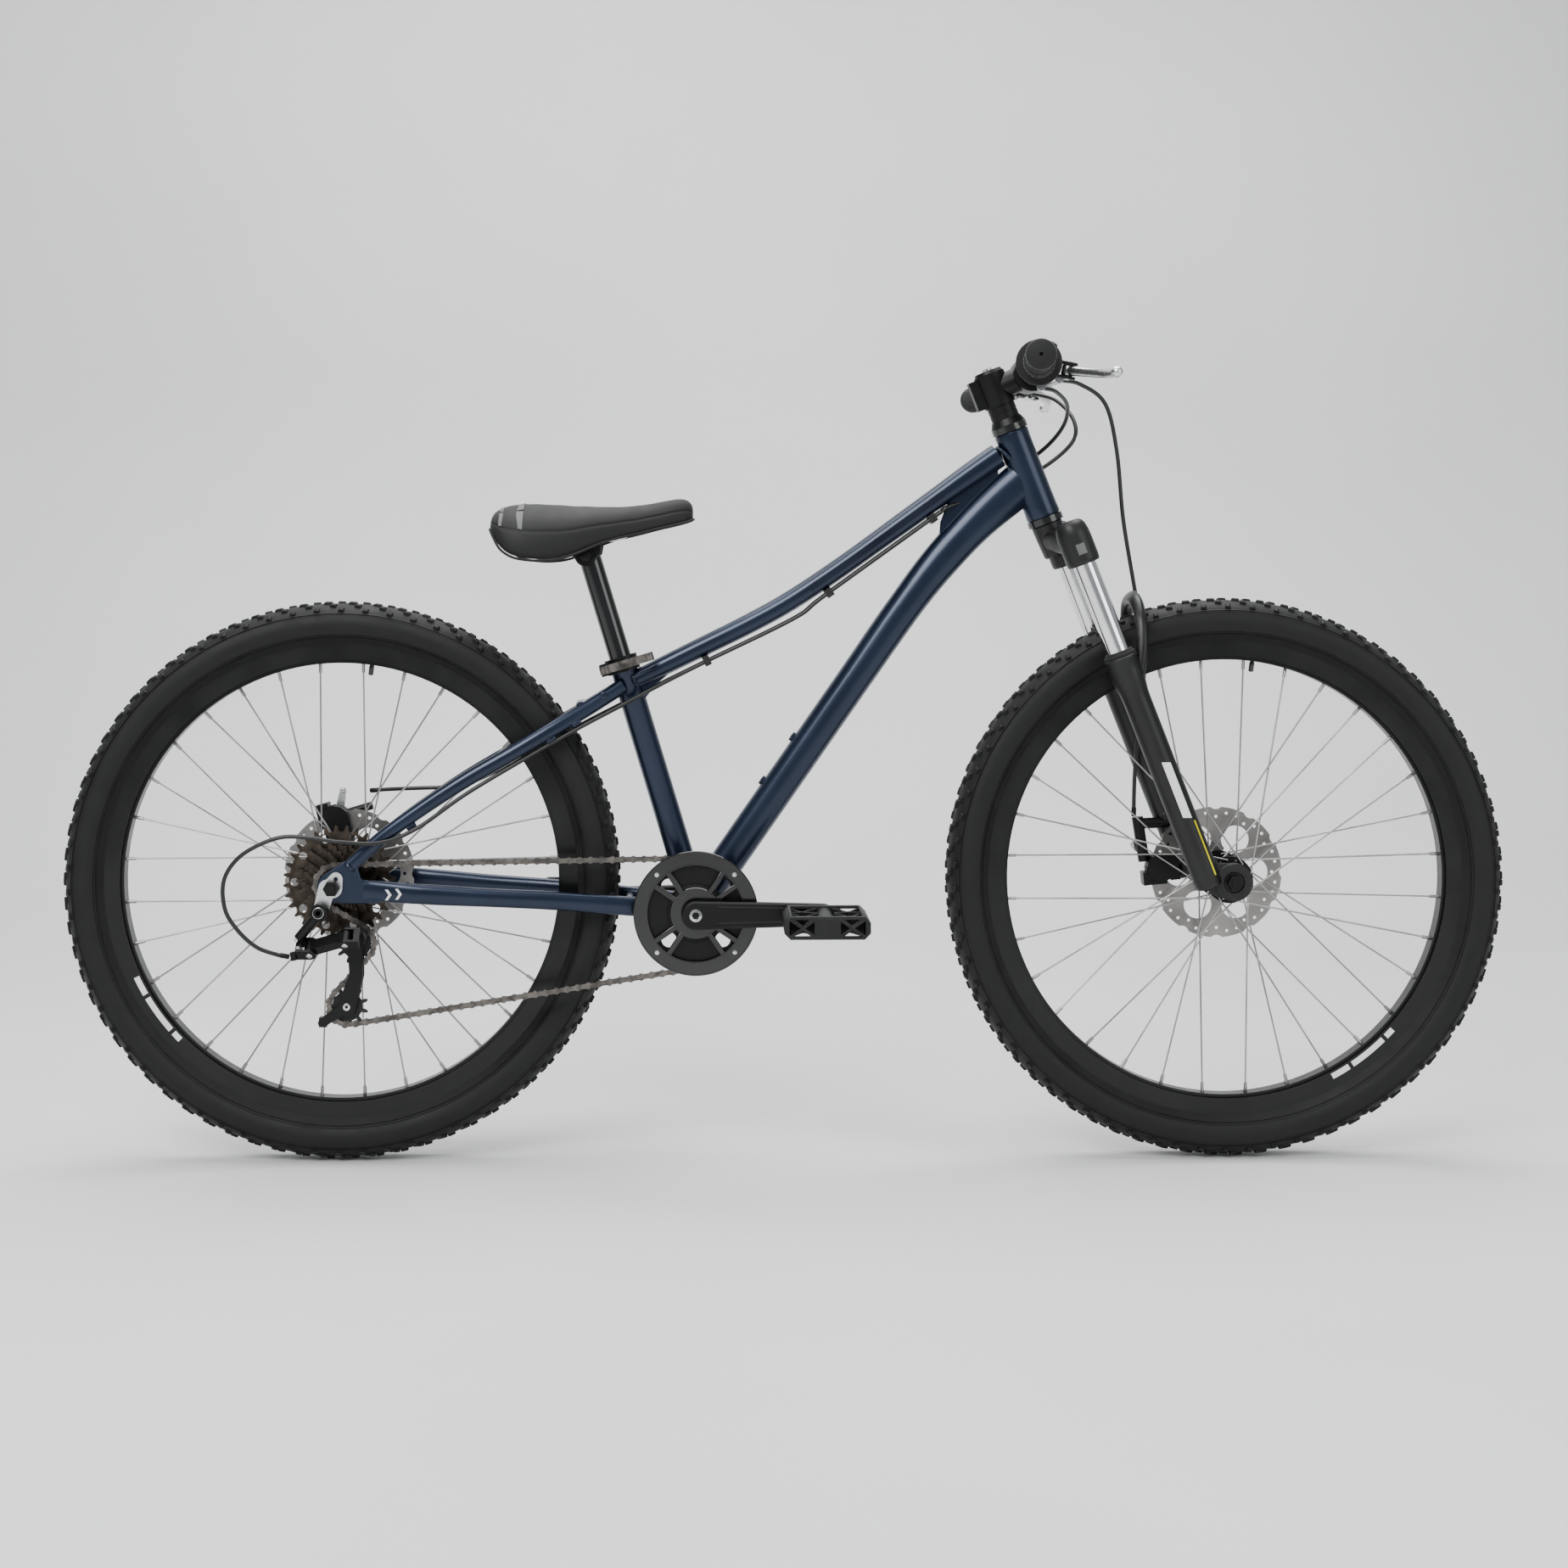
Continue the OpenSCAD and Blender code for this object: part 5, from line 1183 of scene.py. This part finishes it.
def chainguard():
    """Moulded guard: two rings, four V pairs of ribs, and a bolt at each foot."""
    parts = []
    ring = [(57.2, -58.9), (73.2, -58.9), (74, -58), (74, -56.3), (73.4, -56), (57.2, -56)]
    parts.append(revolve("outer_ring", ring, BB, Y, GLOSS_BLACK, 128))
    # A raised lip on both edges of the outer ring
    for r in (58.6, 72.4):
        lip = [(r + 0.9 * math.cos(a), -58.55 - 0.45 * math.sin(a)) for a in
               [2 * math.pi * k / 10 for k in range(10)]]
        parts.append(revolve("lip", lip, BB, Y, GLOSS_BLACK, 128))
    hub = [(17.2, -58.6), (30, -58.6), (31, -57.6), (31, -56), (17.2, -56)]
    parts.append(revolve("inner_ring", hub, BB, Y, GLOSS_BLACK, 72))
    for i in range(4):
        for s in (-1, 1):
            a = math.radians(45 + 90 * i + s * 11)
            d = Vector((math.cos(a), 0, math.sin(a)))
            n = Vector((-d.z, 0, d.x))
            foot, head = BB + d * 28, BB + d * 59.5
            outline = [foot + n * 3.3, foot - n * 3.3, head - n * 3.3, head + n * 3.3]
            parts.append(slab("rib", [(p.x, p.z) for p in outline], -58.7, -56, GLOSS_BLACK, 0.9))
        a = math.radians(45 + 90 * i)
        at = BB + Vector((math.cos(a), 0, math.sin(a))) * 65
        parts.append(disc("rivet", at + Vector((0, -59, 0)), (0, -1, 0), 3.2, -2.5, -0.02, SILVER, 0.8, 24))
    return join("chainguard_skin", parts)


PEDAL_Y, PEDAL_W, PEDAL_L, PEDAL_H = 82, 92, 98, 26


def pedal(centre_x, side):
    """Resin platform: barrel, braced cage, studs on both faces and a reflector front and back."""
    parts = []
    centre = Vector((centre_x, 0, BB.z))
    y0, y1 = PEDAL_Y, PEDAL_Y + PEDAL_W
    half, high = PEDAL_L / 2, PEDAL_H / 2
    bevel = 7

    def place(piece):
        parts.append(piece if side > 0 else flip(baked(piece)))

    def around(outline):
        return [(centre.x + x, centre.z + z) for x, z in outline]

    rim = [(-half + bevel, -high), (half - bevel, -high), (half, -high + bevel), (half, high - bevel),
           (half - bevel, high), (-half + bevel, high), (-half, high - bevel), (-half, -high + bevel)]
    windows = []
    for s in (-1, 1):
        for tri in ([(3, 0), (15, -8), (15, 8)], [(-3, 0), (-13, 7), (-13, -7)],
                    [(0, 2.6), (11, 9.6), (-10, 9.6)], [(0, -2.6), (-10, -9.6), (11, -9.6)]):
            windows.append(around([(s * (28 + x), z) for x, z in tri]))
    for a, b in ((y0 + 0.1, y0 + 7), (y1 - 7, y1 - 0.1)):
        place(slab("side", around(rim), a, b, BLACK_PLASTIC, 0.9, windows))
    barrel = [(5.05, y0 + 0.2), (11, y0 + 0.2), (12, y0 + 1.4), (11.4, y0 + 10), (10.4, y0 + 24),
              (10.4, y1 - 24), (11.4, y1 - 10), (12, y1 - 1.4), (11, y1 - 0.2), (4, y1 - 0.2), (4, y1 - 3),
              (5.05, y1 - 3)]
    place(revolve("barrel", barrel, centre, Y, BLACK_PLASTIC, 48))
    place(disc("dust_cap", centre, Y, 7.5, y1 - 3, y1 - 0.02, BLACK_PLASTIC, 0.8, 36))
    for s in (-1, 1):
        # Long walls at the front and the back of the cage
        wall = [(s * half, -high + bevel), (s * half, high - bevel), (s * (half - bevel), high),
                (s * (half - 9), high), (s * (half - 5.5), high - 8), (s * (half - 5.5), -high + 8),
                (s * (half - 9), -high), (s * (half - bevel), -high)]
        place(slab("wall", around(wall), y0 + 5, y1 - 5, BLACK_PLASTIC, 0.8))
        # Reflector set into each wall
        for a in (y0 + 14, y0 + 49):
            lens = [(s * (half - 4), -5), (s * (half - 0.3), -5), (s * (half - 0.3), 5), (s * (half - 4), 5)]
            place(slab("reflector", around(lens), a, a + 30, REFLECTOR, 0.8))
        # Diagonal braces of the platform between barrel and wall
        for u, v in ((y0 + 9, y0 + 45), (y0 + 47, y1 - 9), (y0 + 45, y0 + 9), (y1 - 9, y0 + 47)):
            p = Vector((centre.x + s * 10, u, centre.z))
            q = Vector((centre.x + s * (half - 6), v, centre.z))
            size = [(11, 2.1), (9.5, 2.1), (11.5, 2.1)]
            place(tube("brace", [p, p.lerp(q, 0.5), q], size, BLACK_PLASTIC, 4, 16, 0.5))
        # Studs along the edges of both faces
        for face in (-1, 1):
            for k in range(8):
                at = centre + Vector((s * (half - 8), y0 + 9 + k * (PEDAL_W - 18) / 7, face * (high - 1.4)))
                place(disc("stud", at, (0, 0, face), 2.1, -2, 1.35, BLACK_PLASTIC, 0.5, 12))
    return join(("left" if side > 0 else "right") + "_pedal_skin", parts)


def bevelled(material, width, *nodes):
    """CAD nodes that stay, with their finish and softened edges."""
    paint(material, *nodes)
    for node in nodes:
        soft_edges(NODES[node], width, 50)


def mount_bolt():
    """The derailleur's mounting bolt, with painted shade in its socket."""
    at = (-545.4, -95.2, 310.1)
    # The black hexagon on the bolt's face is painted shade where its socket is
    return join("mount_bolt_piece", [disc("mount_bolt", at, (0, -1, 0), 6.8, -6, 0.75, SILVER, 1.2, 40),
                                     disc("mount_socket_shade", at, (0, -1, 0), 3.1, -1, 0.8, BLACK_ALLOY, 0.2, 6)])


MOUNT_PIN = Vector((-558, -76, 266))
KNUCKLE_PIN = Vector((-514.15, -89.8, 279.8))
PIVOT_END = Vector((-503, -80.2, 277))
GUIDE = Vector((-508, 0, 268))
TENSION = Vector((-518.44, 0, 193.73))


def pin_caps(origin):
    """Caps on both ends of a link pin, which leans outwards and down."""
    pin = Matrix.Rotation(math.radians(-45), 3, "X") @ Vector((0, 0, 1))
    return [disc("pin_cap", origin + pin * 10.4 * sign, pin * sign, 3.8, -0.6, 1.2, SILVER, 0.6, 24)
            for sign in (1, -1)]


def derailleur_details():
    """Chromed screws of the derailleur: link pins, limit screws, pulley bolts."""
    parts = pin_caps(MOUNT_PIN)
    for dz in (0, 9):
        at = (-571 - dz * 0.25, -84.6, 268 + dz)
        parts.append(disc("limit_screw", at, (0, -1, 0), 2.4, -3, 1.4, SILVER, 0.5, 20))
    settle(join("derailleur_mount_screws", parts), "frame", slot="silver_alloy")
    parts = pin_caps(KNUCKLE_PIN)
    parts.append(disc("pivot_cap", PIVOT_END, (0, -1, 0), 7, -1, 1.6, BLACK_ALLOY, 1, 36))
    settle(join("derailleur_knuckle_screws", parts), "derailleur_knuckle", slot="silver_alloy")
    parts = []
    for pulley in (GUIDE, TENSION):
        for side in (-1, 1):
            at, out = pulley + Vector((0, CHAIN_Y + side * 6.5, 0)), (0, side, 0)
            parts.append(disc("pulley_bolt", at, out, 4.4, -0.4, 1.3, SILVER, 0.6, 28))
            # Black hexagon on each bolt: painted shade where its socket is
            parts.append(disc("pulley_socket_shade", at, out, 2, 0.2, 1.4, BLACK_ALLOY, 0.1, 6))
    settle(join("cage_bolts", parts), "derailleur_cage", slot="silver_alloy")


def drive():
    cranks()
    settle(chainguard(), "crank", "chainguard", slot="gloss_black")
    settle(pedal(BB.x + CRANK, -1), "right_pedal", "right_pedal", slot="black_plastic")
    settle(pedal(BB.x - CRANK, 1), "left_pedal", "left_pedal", slot="black_plastic")
    settle(mount_bolt(), "frame", slot="silver_alloy")
    derailleur_details()
    paint(BLACK_ALLOY, "chainring")
    paint(SILVER, "pedal_axles")
    paint(COG_STEEL, "freewheel")
    paint(CHAIN_STEEL, "chain")
    paint(BLACK_PLASTIC, "guide_pulley", "tension_pulley")
    bevelled(BLACK_ALLOY, 0.8, "derailleur_mount", "derailleur_arm", "derailleur_knuckle")
    bevelled(BLACK_ALLOY, 0.3, "derailleur_cage")


# ---------------------------------------------------------------- brakes
def caliper_details():
    """Round adjusters and clamp bolts of both calipers."""
    for end, pivot, y, tip, body in (("front", Vector((464, 0, 343)), 50, (-30, 26), "front_arm"),
                                     ("rear", Vector((-548, 0, 404)), 65, (6, 34), "rear_arm")):
        parts = []
        knob_profile = [(2, 3.4), (9, 3.4), (9.6, 3.9)]
        for k in range(3):
            knob_profile += [(9.6, 4.4 + k), (9.1, 4.7 + k), (9.1, 5.1 + k)]
        knob_profile += [(9, 7.4), (8, 8), (2, 8)]
        parts.append(revolve("adjuster", knob_profile, pivot + Vector((0, y, 0)), Y, SILVER, 48))
        hexagon = pivot + Vector((0, y + 7.4, 0))
        parts.append(disc("adjuster_hex", hexagon, Y, 4, 0, 0.9, BLACK_ALLOY, 0.3, 6))
        at = pivot + Vector((tip[0], y + 3.3, tip[1]))
        parts.append(disc("anchor_bolt", at, Y, 3.4, -3.6, 2.6, SILVER, 0.7, 6))
        settle(join(end + "_arm_details", parts), body, slot="silver_alloy")
        bevelled(SILVER, 0.4, end + "_caliper_arm")
        bevelled(BLACK_ALLOY, 0.9, end + "_brake_caliper")


# ---------------------------------------------------------------- scene
FLOOR = finish_material("floor", grey(0.70), grey(0.74), (0.7, 0.8), grain=300, bump=0.02, mottle=1.2)


def area_light(name, place, target, size, power, colour=(1, 1, 1)):
    data = bpy.data.lights.new(name, "AREA")
    data.shape = "RECTANGLE"
    data.size, data.size_y = size
    data.energy = power
    data.color = colour
    lamp = bpy.data.objects.new(name, data)
    lamp.location = place
    lamp.rotation_euler = (Vector(target) - Vector(place)).to_track_quat("-Z", "Y").to_euler()
    bpy.context.scene.collection.objects.link(lamp)


def studio():
    """Pale floor that runs up into a wall, soft light from above, front and behind."""
    back, depth, radius = 2.6, -5.0, 1.2
    profile = [(depth, 0.0)] + [(back - radius + radius * math.sin(math.radians(a)),
                                 radius - radius * math.cos(math.radians(a))) for a in range(0, 91, 6)]
    profile += [(back, 6.0)]
    verts = [Vector((x, y, z)) / MM for x in (-7, 7) for y, z in profile]
    n = len(profile)
    faces = [(k, k + 1, n + k + 1, n + k) for k in range(n - 1)]
    floor = make("floor", verts, faces, FLOOR)
    area_light("key", (-1.6, -3.0, 3.2), (0, 0, 0.5), (2.6, 2.0), 120)
    area_light("fill", (2.6, -2.4, 1.6), (0, 0, 0.5), (2.0, 2.0), 26)
    area_light("top", (0, 0.3, 3.4), (0, 0, 0.4), (3.4, 2.4), 90)
    area_light("rim", (0.4, 1.2, 3.0), (0, 0, 0.6), (2.4, 1.0), 18)
    world = bpy.data.worlds.new("studio")
    world.use_nodes = True
    world.node_tree.nodes["Background"].inputs["Color"].default_value = (0.86, 0.89, 0.93, 1)
    world.node_tree.nodes["Background"].inputs["Strength"].default_value = 0.4
    bpy.context.scene.world = world
    bpy.context.scene.view_settings.view_transform = "AgX"
    bpy.context.scene.view_settings.look = "AgX - Medium High Contrast"


def camera():
    data = bpy.data.cameras.new("camera")
    data.sensor_width = 36
    data.lens = 51.27
    data.shift_x = 0.048
    data.shift_y = -0.132
    data.clip_end = 50
    cam = bpy.data.objects.new("camera", data)
    cam.location = (-0.0881, -2.7, 0.7007)
    cam.rotation_euler = (math.radians(90), math.radians(0.226), 0)
    bpy.context.scene.collection.objects.link(cam)
    bpy.context.scene.camera = cam


wheels()
frame_body()
fork_body()
cockpit_body()
saddle_body()
cables()
drive()
caliper_details()
camera()
studio()
